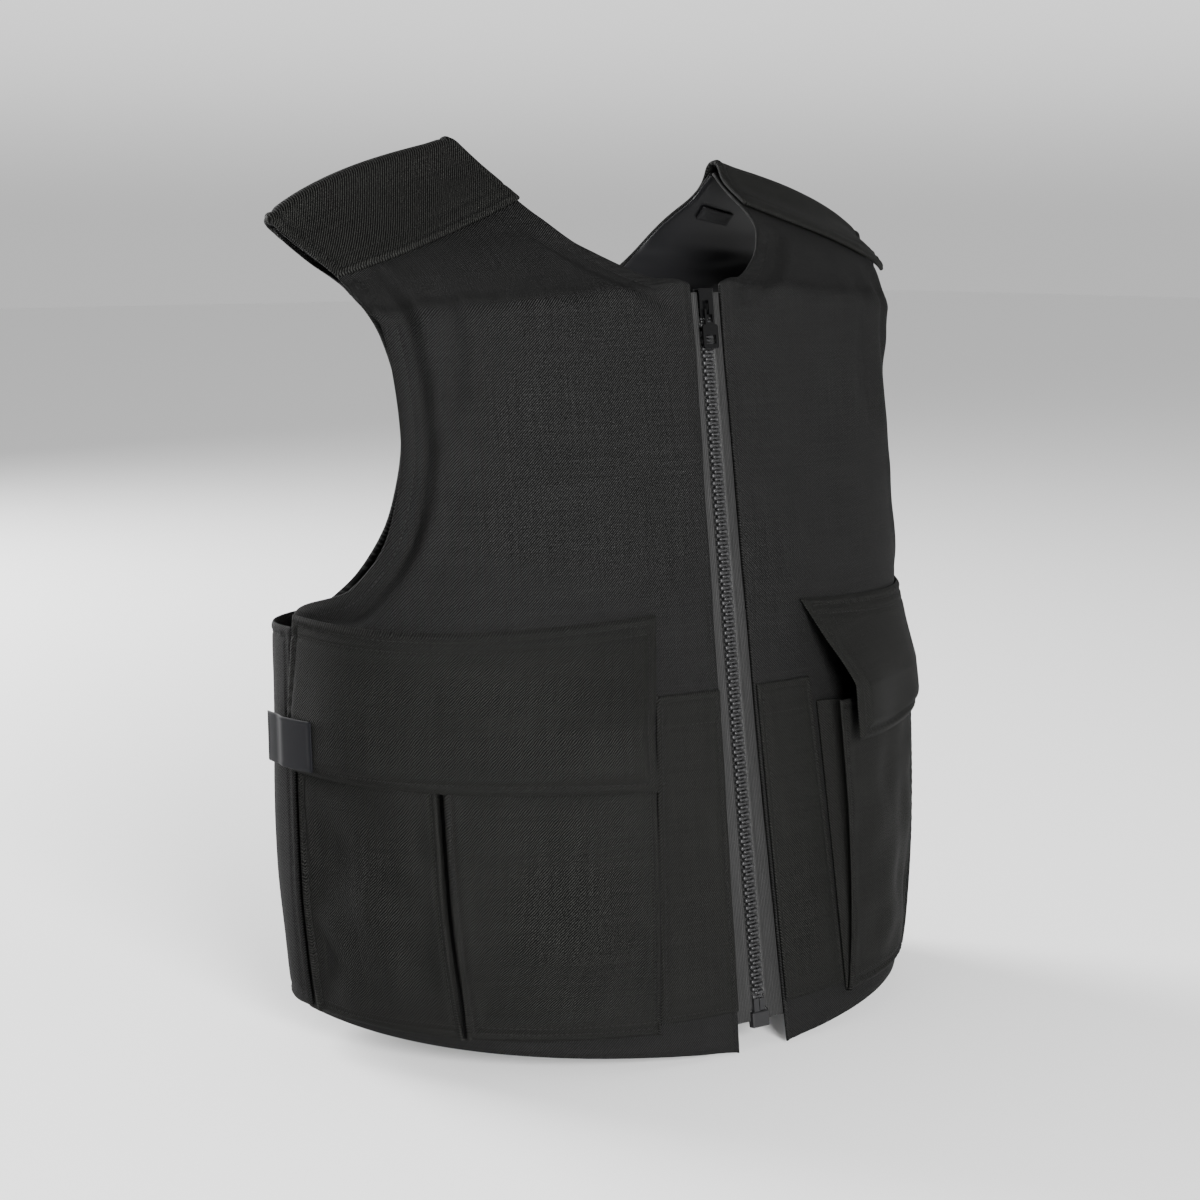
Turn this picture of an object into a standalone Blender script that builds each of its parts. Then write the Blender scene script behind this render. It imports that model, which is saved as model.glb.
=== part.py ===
"""A worn stab vest, empty and standing in its worn shape: two padded front panels closed by a zip, a padded back
panel with its lining, shoulder straps, side panels, bellows pockets under flaps, and flat slip pockets.

Metres. +X is the wearer's left, the front faces -Y, +Z is up. The origin is where the vest sits on the shoulders.
"""
from math import atan2, cos, radians, sin

import bmesh
import bpy
import numpy as np
from mathutils import Vector

# Frame: heights in the tables below count from the hem, and the shoulders' seat is the origin
SEAT_HEIGHT = 0.530

# Walls and gaps
PAD_WALL = 0.0100  # cloth carrier with its stab-resistant panel
EDGE_WALL = 0.0024  # the carrier's two cloths sewn together round the panel
PAD_STEP = 0.0025  # how far the sewn edge lies below the padded face
ZIP_MARGIN = 0.03  # share of a front panel's width that is thin, beside the zip
STRAP_WALL = 0.0034
CLOTH_WALL = 0.0016
LINING_WALL = 0.0010
LABEL_WALL = 0.0010
SEAT_GAP = 0.0003
SEAM_GAP = 0.0007  # where a sewn piece follows the round of a panel
LINING_GAP = 0.0011

# The torso: one row for each height of the section, which is a superellipse with its own front and back depth
SECTION_COLUMNS = ("height", "half_width", "front_depth", "back_depth", "squareness")
SECTIONS = (
    (0.000, 0.2130, 0.1813, 0.0800, 2.25),
    (0.050, 0.2200, 0.1748, 0.0850, 2.25),
    (0.110, 0.2250, 0.1670, 0.0880, 2.25),
    (0.200, 0.2265, 0.1553, 0.0860, 2.25),
    (0.270, 0.2275, 0.1462, 0.0760, 2.35),
    (0.330, 0.2245, 0.1384, 0.0560, 2.45),
    (0.380, 0.2235, 0.1319, 0.0465, 2.50),
    (0.430, 0.2270, 0.1254, 0.0460, 2.50),
    (0.470, 0.2390, 0.1202, 0.0520, 2.50),
    (0.510, 0.2510, 0.1150, 0.0620, 2.50),
    (0.560, 0.2620, 0.1085, 0.0700, 2.50),
)

# The shoulder: above the arch's base the depth closes to nothing at the ridge
ARCH_BASE = 0.400
RIDGE_COLUMNS = ("across", "height")
RIDGE = (
    (0.000, 0.581), (0.060, 0.568), (0.090, 0.556), (0.114, 0.549), (0.145, 0.541),
    (0.175, 0.532), (0.205, 0.521), (0.221, 0.513), (0.238, 0.499), (0.260, 0.476),
)
ARCH_COLUMNS = ("rise", "depth_share")
ARCH = (
    (0.00, 1.000), (0.20, 1.000), (0.36, 1.000), (0.49, 0.880), (0.60, 0.735),
    (0.715, 0.520), (0.85, 0.270), (1.00, 0.000),
)
LEFT_DROP = 0.011  # the wearer's left shoulder hangs lower
DROP_START = 0.66  # rise at which it sets in
DROP_ACROSS = 0.10

# Each panel's two edges, from the hem to the ridge: the inner one is the zip edge or centre back, then the
# neckline, and the outer one is the side seam, then the armhole, as an angle round the section
EDGE_COLUMNS = ("inner_across", "inner_height", "outer_angle", "outer_height")
FRONT_EDGES = (
    (0.0200, 0.000, 90.0, 0.023),
    (0.0175, 0.090, 90.0, 0.098),
    (0.0150, 0.180, 90.0, 0.185),
    (0.0140, 0.262, 90.0, 0.268),
    (0.0135, 0.290, 71.5, 0.289),
    (0.0130, 0.330, 61.8, 0.322),
    (0.0125, 0.390, 58.5, 0.376),
    (0.0120, 0.435, 59.5, 0.424),
    (0.0120, 0.466, 60.5, 0.450),
    (0.0360, 0.474, 61.0, 0.458),
    (0.0620, 0.487, 61.5, 0.467),
    (0.0830, 0.504, 62.0, 0.476),
    (0.0940, 0.527, 64.5, 0.488),
    (0.1040, 0.546, 67.0, 0.500),
)
BACK_EDGES = (
    (0.0000, 0.020, 76.0, 0.028),
    (0.0000, 0.095, 76.0, 0.100),
    (0.0000, 0.175, 76.0, 0.180),
    (0.0000, 0.235, 76.0, 0.245),
    (0.0000, 0.258, 70.0, 0.251),
    (0.0000, 0.285, 50.0, 0.261),
    (0.0000, 0.312, 35.0, 0.283),
    (0.0000, 0.348, 28.5, 0.320),
    (0.0000, 0.385, 27.0, 0.360),
    (0.0000, 0.420, 28.5, 0.403),
    (0.0000, 0.445, 33.0, 0.441),
    (0.0000, 0.457, 37.5, 0.460),
    (0.0450, 0.466, 42.0, 0.470),
    (0.0720, 0.482, 47.5, 0.478),
    (0.0880, 0.500, 54.0, 0.486),
    (0.1030, 0.527, 61.5, 0.494),
    (0.1060, 0.546, 67.0, 0.500),
)
HEM_BOW = 0.7  # below 1, the hem rises sooner from the middle to the side
RIDGE_STOP = 0.965  # rise at which the panels end, under the straps

# Shoulder straps: sewn to the back panel, over the ridge, and closed on the front panel
STRAP_COLUMNS = ("half", "inner_rise", "outer_rise", "inner_across", "outer_angle")
STRAP = (
    (-1, 0.750, 0.620, 0.0905, 62.0),
    (-1, 0.835, 0.740, 0.0950, 63.6),
    (-1, 0.915, 0.870, 0.1000, 65.3),
    (-1, 1.000, 1.000, 0.1060, 67.0),
    (+1, 0.915, 0.870, 0.1065, 62.5),
    (+1, 0.835, 0.740, 0.1030, 54.5),
    (+1, 0.750, 0.640, 0.0960, 47.5),
)

# Side panels, from the front panel's side seam round onto the back panel
SIDE_TURNS = (90.3, 128.0)  # degrees round the body from the middle of the front
SIDE_HEIGHTS = (0.026, 0.262)

# Bellows pockets: heights and depths, bottom to top, and the places across the front
POCKET_COLUMNS = ("height", "depth")
POCKET = ((0.0195, 0.0016), (0.055, 0.0075), (0.100, 0.0125), (0.150, 0.0160), (0.205, 0.0175))
POCKET_INNER = (0.0765, 0.0670)  # across, at the bottom and top
POCKET_LEAN = {"right": 0.0080, "left": 0.0010}  # how far the front wall's inner edge leans outwards at the top
POCKET_SPLIT = 52.8
POCKET_SPLIT_GAP = 1.1
POCKET_OUTER = 86.0
SPLIT_DEPTH = 0.48  # share of the inner gusset's depth
SEAM_DEPTH = 0.16  # share left at the side seam
POCKET_RISE = 0.0060  # how much higher the bottom is at the side seam

# Flaps, one row a side: the wearer's left one has its inner corner lifted and drawn aside
FLAP_COLUMNS = ("side", "inner_top", "inner_bottom", "inner_height", "outer_height", "lift")
FLAPS = ((-1, 0.0585, 0.0775, 0.1680, 0.1760, 0.0225), (+1, 0.0585, 0.0730, 0.1800, 0.1850, 0.0260))
FLAP_TOP = 0.270
FLAP_OUTER = 88.0
FLAP_DIP = 0.005
FLAP_RAMP = 0.62  # share of its height over which the flap rises to clear the pocket

# Slip pockets, flat between the zip and the bellows pockets
SLIP_INNER = (0.0200, 0.0155)
SLIP_OUTER = (0.0745, 0.0615)
SLIP_HEIGHTS = (0.026, 0.221)

# Labels, bare
SIDE_LABEL_TURNS = (79.5, 96.0)
SIDE_LABEL_HEIGHTS = (0.179, 0.209)
NECK_LABEL_ACROSS = (0.113, 0.138)
NECK_LABEL_RISES = (0.755, 0.830)

# The zip, along a straight line up the front; local x across, y up the zip and z out of the front
ZIP_FOOT = (0.0, -0.1790, 0.018)
ZIP_HEAD = (0.0, -0.1210, 0.464)
TAPE_WALL = 0.0007
TAPE_INNER = 0.0048
TAPE_NOTCH = (0.0070, 0.0044)  # across and along: the cut that clears the box
TAPE_OUTER = 0.0205
TAPE_SPAN = (-0.0010, 0.4475)
CHAIN_WALL = 0.0030
CHAIN_BAR = (0.0034, 0.0045)
TOOTH_TIP = 0.0024
TOOTH_WIDTH = 0.0017
TOOTH_PITCH = 0.0046
CHAIN_START = 0.0125
CHAIN_END = 0.4445
PLATE_WALL = 0.0014
SLIDER_SPAN = (0.4315, 0.4500)
SLIDER_HALF_WIDTH = 0.0055
SLIDER_BEVEL = 0.0004
POST_HALF_WIDTH = 0.0015
CROWN_HALF_WIDTH = 0.0012
CROWN_FEET = ((-0.0028, -0.0013), (0.0044, 0.0060))  # along the slider, from the puller's axis
CROWN_WALL = 0.0009
AXIS_ALONG = 0.4365
AXIS_STAND = 0.00105  # height of the puller's axis over the slider's face
PULLER_BAR = 0.0006  # half the thickness of the puller and of its top bar
PULLER_NECK = (0.0036, 0.0088)  # half width and length of the neck
PULLER_EYE = (0.0021, 0.0076)
PULLER_BLADE = (0.0060, 0.0235)
PULLER_CORNER = 0.0012
PULLER_WINDOW = (0.0038, 0.0153, 0.0208)  # half width, start and end
BOX_SIZE = (0.0132, 0.0096, 0.0050)
BOX_BEVEL = 0.0006
BOX_ALONG = -0.0008
PIN_SPAN = (0.0045, 0.0120)
PIN_ACROSS = (0.0003, 0.0044)

# Colours: base colour, roughness, metallic
FINISHES = {
    "cloth": ((0.022, 0.022, 0.021), 0.86, 0.0),
    "lining": ((0.012, 0.012, 0.013), 0.45, 0.0),
    "tape": ((0.085, 0.085, 0.085), 0.80, 0.0),
    "chain": ((0.035, 0.035, 0.036), 0.35, 0.0),
    "label": ((0.010, 0.011, 0.016), 0.60, 0.0),
    "slider": ((0.020, 0.020, 0.021), 0.30, 0.6),
}


def columns(names, table):
    """A table's columns by name, each as an array."""
    return dict(zip(names, np.array(table, dtype=float).T))


SECTION = columns(SECTION_COLUMNS, SECTIONS)
RIDGE_LINE = columns(RIDGE_COLUMNS, RIDGE)
ARCH_LINE = columns(ARCH_COLUMNS, ARCH)
POCKET_LINE = columns(POCKET_COLUMNS, POCKET)


def smooth(knots, values, at):
    """A table's column read between its rows: cubics whose slope at a row is the harmonic mean of its two sides,
    or level where the two sides differ in sign, so that nothing overshoots."""
    steps = np.diff(values) / np.diff(knots)
    before, after = steps[:-1], steps[1:]
    same_way = before * after > 0
    inner = np.where(same_way, 2 * before * after / np.where(same_way, before + after, 1.0), 0.0)
    slopes = np.concatenate([steps[:1], inner, steps[-1:]])
    at = np.asarray(at, dtype=float)
    row = np.clip(np.searchsorted(knots, at, side="right") - 1, 0, len(knots) - 2)
    width = knots[row + 1] - knots[row]
    s = np.clip((at - knots[row]) / width, 0.0, 1.0)
    rise = values[row] * (1 + 2 * s) * (1 - s) ** 2 + values[row + 1] * s * s * (3 - 2 * s)
    return rise + width * s * (1 - s) * (slopes[row] * (1 - s) - slopes[row + 1] * s)


def ease(share):
    """0 to 1 with level ends."""
    share = np.clip(share, 0.0, 1.0)
    return share * share * (3 - 2 * share)


def mix(a, b, share):
    return a + (b - a) * share


def section(name, height):
    return smooth(SECTION["height"], SECTION[name], height)


def ridge(across):
    return smooth(RIDGE_LINE["across"], RIDGE_LINE["height"], across)


def angle_at(across, height):
    """The angle round the section of a place across the vest."""
    share = np.clip(across / section("half_width", height), 0.0, 1.0)
    return np.arcsin(share ** (section("squareness", height) / 2))


def across_at(angle, height):
    return section("half_width", height) * np.sin(angle) ** (2 / section("squareness", height))


def level_at(across, height):
    """-1 at the hem, 0 at the arch's base and 1 at the ridge."""
    above = (height - ARCH_BASE) / (ridge(across) - ARCH_BASE)
    return np.where(height > ARCH_BASE, above, height / ARCH_BASE - 1)


def height_at(angle, level):
    """The height of a level, found by a few rounds, because the ridge's height depends on the place across."""
    height = ARCH_BASE * (1 + np.minimum(level, 0.0)) + 0.12 * np.maximum(level, 0.0)
    for _ in range(12):
        top = ridge(across_at(angle, height))
        height = np.where(level > 0, ARCH_BASE + level * (top - ARCH_BASE), height)
    return height


def torso(half, angle, height):
    """A point of the padded face: half is -1 in front and 1 at the back, angle is 0 at the middle and 90 degrees
    at the side, and the depth closes over the shoulder towards the ridge."""
    power = 2 / section("squareness", height)
    across = section("half_width", height) * np.sin(angle) ** power
    depth = np.where(half < 0, section("front_depth", height), section("back_depth", height))
    rise = (height - ARCH_BASE) / (ridge(across) - ARCH_BASE)
    share = np.where(rise > 0, smooth(ARCH_LINE["rise"], ARCH_LINE["depth_share"], rise), 1.0)
    along = half * depth * np.abs(np.cos(angle)) ** power * share
    return np.stack(np.broadcast_arrays(across, along, height), axis=-1)


def settled(half, angle, height, side):
    """The torso's point on one side, made on the left half: the wearer's left shoulder hangs lower."""
    points = torso(half, angle, height)
    if side == "left":
        rise = (points[..., 2] - ARCH_BASE) / (ridge(points[..., 0]) - ARCH_BASE)
        drop = LEFT_DROP * ease((rise - DROP_START) / (1 - DROP_START))
        points[..., 2] -= drop * ease(points[..., 0] / DROP_ACROSS)
    return points


def outward(half, angle, height, side):
    """The surface's unit normal, from small steps round the section and up it."""
    step = 2e-3
    low = np.clip(angle - step, 1e-3, None)
    round_it = settled(half, low + 2 * step, height, side) - settled(half, low, height, side)
    up = settled(half, angle, height + step, side) - settled(half, angle, height - step, side)
    normal = np.cross(round_it, up) * -np.sign(half)[..., None]
    return normal / np.linalg.norm(normal, axis=-1, keepdims=True)


def on_side(points, side):
    """A grid made on the left half, placed on its side of the vest."""
    return points if side == "left" else points * (-1, 1, 1)


def raised(half, angle, height, distance, side):
    """Points at a distance above the padded face, on their side of the vest."""
    half, angle, height, distance = np.broadcast_arrays(half, angle, height, distance)
    points = settled(half, angle, height, side) + outward(half, angle, height, side) * distance[..., None]
    return on_side(points, side)


def around(turn):
    """Half and angle for a turn round the body, from 0 at the middle of the front to 180 at the middle back."""
    turn = np.asarray(turn, dtype=float)
    return np.where(turn < 90, -1.0, 1.0), np.radians(np.where(turn < 90, turn, 180 - turn))


def both_sides(half, angle, height, distance):
    """Both halves of a grid whose first column is at the middle, side by side."""
    right = raised(half, angle, height, distance, "right")[:, ::-1]
    return np.concatenate([right, raised(half, angle, height, distance, "left")], axis=1)


def panel_places(edges, inner_shares, levels, last_level):
    """Angle and height of each point of a panel: rows run up the edge table, columns from inner to outer edge."""
    edge = columns(EDGE_COLUMNS, edges)
    rows = np.arange(len(edges), dtype=float)
    at = np.linspace(0, len(edges) - 1, levels)
    inner_across = smooth(rows, edge["inner_across"], at)
    inner_height = smooth(rows, edge["inner_height"], at)
    outer_angle = np.radians(np.minimum(smooth(rows, edge["outer_angle"], at), 90.0))
    outer_height = smooth(rows, edge["outer_height"], at)
    inner_level = np.minimum(level_at(inner_across, inner_height), last_level)
    outer_level = level_at(across_at(outer_angle, outer_height), outer_height)
    inner_level[-1] = last_level
    outer_level[-1] = last_level
    share = np.asarray(inner_shares)[None, :]
    bow = mix(HEM_BOW, 1.0, ease(at / 2))[:, None]
    level = mix(inner_level[:, None], outer_level[:, None], share ** bow)
    inner_angle = angle_at(inner_across, inner_height)
    angle = mix(inner_angle[:, None], outer_angle[:, None], share)
    return angle, height_at(angle, level), at[:, None] / (len(edges) - 1)


def new_collection(name):
    collection = bpy.data.collections.new(name)
    bpy.context.scene.collection.children.link(collection)
    return collection


def material(name, finish):
    colour, roughness, metallic = FINISHES[finish]
    made = bpy.data.materials.new(name)
    made.use_nodes = True
    shader = made.node_tree.nodes["Principled BSDF"]
    shader.inputs["Base Color"].default_value = (*colour, 1.0)
    shader.inputs["Roughness"].default_value = roughness
    shader.inputs["Metallic"].default_value = metallic
    return made


def add_object(name, bm, finish, collection=None):
    """Links a mesh made with bmesh as one named object with its own material."""
    mesh = bpy.data.meshes.new(name)
    bm.to_mesh(mesh)
    bm.free()
    mesh.shade_smooth()
    mesh.set_sharp_from_angle(angle=radians(40))
    made = bpy.data.objects.new(name, mesh)
    made.data.materials.append(material(name, finish))
    (collection or PARTS).objects.link(made)
    return made


def sheet(name, points, finish, wall, faces, weights=None, halves=False, grow=-1):
    """A shell: a grid laid on the points, with a Solidify modifier that grows inwards from the outer face, or
    outwards from the inner face where grow is 1. faces is 1 where the grid's own normals point outwards and -1
    where they are turned. Weights share out a varying wall. Halves are joined down the middle where they meet."""
    rows, across = points.shape[:2]
    bm = bmesh.new()
    bmesh.ops.create_grid(bm, x_segments=across - 1, y_segments=rows - 1, size=0.5)
    bm.verts.ensure_lookup_table()
    shares = bm.verts.layers.deform.verify()
    weights = np.ones(points.shape[:2]) if weights is None else weights
    for vert, co, weight in zip(bm.verts, points.reshape(-1, 3) - (0, 0, SEAT_HEIGHT), weights.reshape(-1)):
        vert.co = Vector(co)
        vert[shares][0] = float(weight)
    if halves:
        middle = {across // 2 - 1, across // 2}
        strip = [face for face in bm.faces if {vert.index % across for vert in face.verts} == middle]
        bmesh.ops.delete(bm, geom=strip, context="FACES")
        bmesh.ops.remove_doubles(bm, verts=bm.verts, dist=2e-4)
    if faces < 0:
        bmesh.ops.reverse_faces(bm, faces=bm.faces)
    made = add_object(name, bm, finish)
    shell = made.modifiers.new("wall", "SOLIDIFY")
    shell.thickness = wall
    shell.offset = grow
    shell.vertex_group = made.vertex_groups.new(name="wall").name
    return made


SIDES = {"right": -1, "left": 1}  # the wearer's, with the way that a grid made on the left half faces there
FRONT, BACK = np.array(-1.0), np.array(1.0)


def front_panels():
    """The two padded fronts: zip edge, neckline, armhole and side seam."""
    shares = np.array([0.0, ZIP_MARGIN, 0.085, 0.16, 0.27, 0.38, 0.49, 0.60, 0.71, 0.82, 0.91, 0.955, 1.0])
    angle, height, at = panel_places(FRONT_EDGES, shares, 24, RIDGE_STOP)
    inner = ease((shares - ZIP_MARGIN) / 0.055)[None, :]
    outer = ease((1 - shares) / 0.09)[None, :]
    armhole, neckline = ease((at - 0.25) / 0.05), ease((at - 0.625) / 0.04)
    strap = ease((at - 0.80) / 0.06)
    full = mix(1.0, outer, armhole) * mix(1.0, inner, neckline)
    thick = inner * mix(1.0, outer, armhole) * (1 - strap)
    weights = mix(EDGE_WALL, PAD_WALL, thick) / PAD_WALL
    for side, faces in SIDES.items():
        points = raised(FRONT, angle, height, -PAD_STEP * (1 - full) * (1 - strap), side)
        sheet(f"front_panel_{side}", points, "cloth", PAD_WALL, faces, weights)


def back_panel():
    """The padded back, and the lining on its inner face."""
    shares = np.array([0.0, 0.14, 0.28, 0.42, 0.56, 0.70, 0.82, 0.92, 1.0])
    angle, height, at = panel_places(BACK_EDGES, shares, 24, RIDGE_STOP)
    neck = mix(1.0, ease(shares[None, :] / 0.14), ease((at - 0.66) / 0.05))
    strap = ease((at - 0.70) / 0.16)
    depth = mix(PAD_WALL, EDGE_WALL, strap)
    thick = ease((1 - shares[None, :]) / 0.13) * neck * ease(at / 0.05)
    wall = mix(EDGE_WALL, depth, thick)
    weights = np.concatenate([wall[:, ::-1], wall], axis=1) / PAD_WALL
    inside = both_sides(BACK, angle, height, -depth)
    sheet("back_panel", inside, "cloth", PAD_WALL, -1, weights, halves=True, grow=1)
    rows = np.r_[1:8:3, 8:len(at) - 1]
    lined = both_sides(BACK, angle[rows, :-1], height[rows, :-1], -depth[rows] - LINING_GAP)
    sheet("back_lining", lined, "lining", LINING_WALL, -1, halves=True)


def grid_normals(points):
    """Unit normals of a grid from its neighbours, which run smoothly over the ridge."""
    normal = np.cross(np.gradient(points, axis=1), np.gradient(points, axis=0))
    return normal / np.linalg.norm(normal, axis=-1, keepdims=True)


def shoulder_straps():
    """Flat straps over the shoulder ridge, from the back panel to the front panel."""
    strap = columns(STRAP_COLUMNS, STRAP)
    rows = np.arange(len(STRAP), dtype=float)
    at = np.linspace(0, len(STRAP) - 1, 13)[:, None]
    share = np.linspace(0, 1, 7)[None, :]
    inner_run = smooth(rows, strap["half"] * (1 - strap["inner_rise"]), at)
    outer_run = smooth(rows, strap["half"] * (1 - strap["outer_rise"]), at)
    run = mix(inner_run, outer_run, share)
    level = 1 - np.abs(run)
    outer_angle = np.radians(smooth(rows, strap["outer_angle"], at))
    inner_across = smooth(rows, strap["inner_across"], at)
    inner_height = ARCH_BASE + level[:, :1] * (ridge(inner_across) - ARCH_BASE)
    angle = mix(angle_at(inner_across, inner_height), outer_angle, share)
    for side, faces in SIDES.items():
        base = settled(np.where(run < 0, -1.0, 1.0), angle, height_at(angle, level), side)
        points = on_side(base + grid_normals(base) * (SEAM_GAP + STRAP_WALL), side)
        sheet(f"shoulder_strap_{side}", points, "cloth", STRAP_WALL, faces)


def side_panels():
    """Cloth side panels, sewn at the front panel's side seam and closed on the back panel."""
    half, angle = around(np.linspace(*SIDE_TURNS, 8)[None, :])
    height = np.linspace(*SIDE_HEIGHTS, 9)[:, None]
    for side, faces in SIDES.items():
        points = raised(half, angle, height, SEAM_GAP + CLOTH_WALL, side)
        sheet(f"side_panel_{side}", points, "cloth", CLOTH_WALL, faces)


def pocket_depth(height):
    return smooth(POCKET_LINE["height"], POCKET_LINE["depth"], height)


def depth_share(angle):
    """How the bellows' depth falls from the inner gusset to the side seam."""
    split, outer = np.radians(POCKET_SPLIT), np.radians(POCKET_OUTER)
    inner = angle_at(np.array(POCKET_INNER[1]), np.array(POCKET[-1][0]))
    front = mix(1.0, SPLIT_DEPTH, np.clip((angle - inner) / (split - inner), 0, 1))
    side = mix(SPLIT_DEPTH, SEAM_DEPTH, ease((angle - split) / (outer - split)))
    return np.where(angle < split, front, side)


def bellows_pockets():
    """Two bellows pockets side by side on each front: a front wall with a gusset round it, open at the top."""
    gap = np.radians(POCKET_SPLIT_GAP)
    split, outer = np.radians(POCKET_SPLIT), np.radians(POCKET_OUTER)
    bottom, top = POCKET_LINE["height"][[0, -1]]
    height = np.linspace(bottom, top, 8)[:, None]
    inner_across = np.interp(height, (bottom, top), POCKET_INNER)
    up = (height - bottom) / (top - bottom)
    for part in ("front", "side"):
        for side, faces in SIDES.items():
            share = np.linspace(0, 1, 6)[None, :]
            if part == "front":
                start, end = angle_at(inner_across, height), split - gap / 2
                lean = angle_at(inner_across + POCKET_LEAN[side] * up, height) - start
            else:
                start, end, lean = split + gap / 2, outer, 0.0
            foot = mix(start, end, share)
            front = mix(start + lean, end, share)
            rise = POCKET_RISE * foot / outer * (1 - ease((height - bottom) / 0.1))
            stand = SEAM_GAP + CLOTH_WALL + pocket_depth(height) * depth_share(front)
            base = raised(FRONT, foot, height + rise, SEAM_GAP, side)
            walls = raised(FRONT, front, height + rise, stand, side)
            points = np.concatenate([base[:, :1], walls, base[:, -1:]], axis=1)
            sheet(f"pocket_{part}_{side}", points, "cloth", CLOTH_WALL, faces)


def flap_places(row):
    """Angle, height and stand-off of a flap's face: sewn level at the top, over the pocket lower down."""
    flap = dict(zip(FLAP_COLUMNS, row))
    down = np.linspace(1, 0, 7)[:, None]
    share = np.linspace(0, 1, 13)[None, :]
    top = FLAP_TOP - FLAP_DIP * np.sin(np.pi * share)
    bottom = mix(flap["inner_height"], flap["outer_height"], share)
    height = mix(top, bottom, down)
    ramp = np.clip(down / FLAP_RAMP, 0.0, 1.0)
    inner_across = mix(flap["inner_top"], flap["inner_bottom"], ramp)
    angle = mix(angle_at(inner_across, height), np.radians(FLAP_OUTER), share)
    over = mix(flap["lift"], pocket_depth(height), ease(share / 0.35)) * depth_share(angle)
    return angle, height, SEAM_GAP + CLOTH_WALL + (SEAM_GAP + CLOTH_WALL + over) * ramp


def flaps_and_label():
    """The pocket flaps, and the bare side label sewn on the right one's lower end and the side panel."""
    for (side, faces), row in zip(SIDES.items(), FLAPS):
        angle, height, stand = flap_places(row)
        sheet(f"pocket_flap_{side}", raised(FRONT, angle, height, stand, side), "cloth", CLOTH_WALL, faces)
    half, angle = around(np.linspace(*SIDE_LABEL_TURNS, 6)[None, :])
    height = np.linspace(*SIDE_LABEL_HEIGHTS, 3)[:, None]
    share = np.where(half < 0, depth_share(angle), SEAM_DEPTH)
    flap_face = 2 * (SEAM_GAP + CLOTH_WALL) + pocket_depth(height) * share
    points = raised(half, angle, height, flap_face + SEAM_GAP + LABEL_WALL, "right")
    sheet("side_label", points, "label", LABEL_WALL, SIDES["right"])


def slip_pockets():
    """Flat pockets between the zip and the bellows pockets."""
    height = np.linspace(*SLIP_HEIGHTS, 8)[:, None]
    inner = np.interp(height, SLIP_HEIGHTS, SLIP_INNER)
    outer = np.interp(height, SLIP_HEIGHTS, SLIP_OUTER)
    angle = angle_at(mix(inner, outer, np.linspace(0, 1, 5)[None, :]), height)
    for side, faces in SIDES.items():
        points = raised(FRONT, angle, height, SEAT_GAP + CLOTH_WALL, side)
        sheet(f"slip_pocket_{side}", points, "cloth", CLOTH_WALL, faces)


def neck_label():
    """A small bare label on the back lining, below the left strap."""
    across = np.linspace(*NECK_LABEL_ACROSS, 3)[None, :]
    rise = np.linspace(*NECK_LABEL_RISES, 3)[:, None]
    height = ARCH_BASE + rise * (ridge(across) - ARCH_BASE)
    depth = EDGE_WALL + LINING_GAP + LINING_WALL + SEAM_GAP
    points = raised(BACK, angle_at(across, height), height, -depth, "left")
    sheet("neck_label", points, "label", LABEL_WALL, -1)


def zip_frame(made, along=0.0, out=0.0):
    """Stands a piece made flat in the zip's own frame on the front."""
    run = Vector(ZIP_HEAD) - Vector(ZIP_FOOT)
    tilt = atan2(run.z, run.y)
    up, face = Vector((0, cos(tilt), sin(tilt))), Vector((0, -sin(tilt), cos(tilt)))
    made.location = Vector(ZIP_FOOT) - Vector((0, 0, SEAT_HEIGHT)) + up * along + face * out
    made.rotation_euler = (tilt, 0, 0)
    return made


TAPE_TOP = -EDGE_WALL - 2 * SEAT_GAP - SEAT_GAP
CHAIN_MIDDLE = TAPE_TOP - TAPE_WALL / 2
CHAIN_TOP = CHAIN_MIDDLE + CHAIN_WALL / 2
CHAIN_BACK = CHAIN_MIDDLE - CHAIN_WALL / 2
FACE_TOP = CHAIN_TOP + SEAT_GAP + PLATE_WALL
AXIS_OUT = FACE_TOP + AXIS_STAND


def block(name, low, high, finish, collection=None, bevel=0.0):
    """A box between two corners in the zip's frame."""
    bm = bmesh.new()
    bmesh.ops.create_cube(bm, size=1.0)
    low, high = Vector(low), Vector(high)
    for vert in bm.verts:
        vert.co = Vector([mix(a, b, c + 0.5) for a, b, c in zip(low, high, vert.co)])
    if bevel:
        bmesh.ops.bevel(bm, geom=bm.edges, offset=bevel, segments=1, affect="EDGES", profile=0.7)
    return zip_frame(add_object(name, bm, finish, collection))


def flat_outline(name, outlines, low, wall, finish):
    """A flat piece: a 2-D curve, filled, with inner outlines as holes, made a mesh with its caps welded."""
    curve = bpy.data.curves.new(name, "CURVE")
    curve.dimensions, curve.fill_mode, curve.extrude = "2D", "BOTH", wall / 2
    for outline in outlines:
        spline = curve.splines.new("POLY")
        spline.points.add(len(outline) - 1)
        for point, (x, y) in zip(spline.points, outline):
            point.co = (x, y, 0, 1)
        spline.use_cyclic_u = True
    guide = bpy.data.objects.new(name + "_outline", curve)
    PARTS.objects.link(guide)
    mesh = bpy.data.meshes.new_from_object(guide.evaluated_get(bpy.context.evaluated_depsgraph_get()))
    bpy.data.objects.remove(guide)
    bm = bmesh.new()
    bm.from_mesh(mesh)
    bmesh.ops.remove_doubles(bm, verts=bm.verts, dist=1e-6)
    bmesh.ops.translate(bm, verts=bm.verts, vec=(0, 0, low + wall / 2))
    bmesh.ops.recalc_face_normals(bm, faces=bm.faces)
    return add_object(name, bm, finish)


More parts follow.
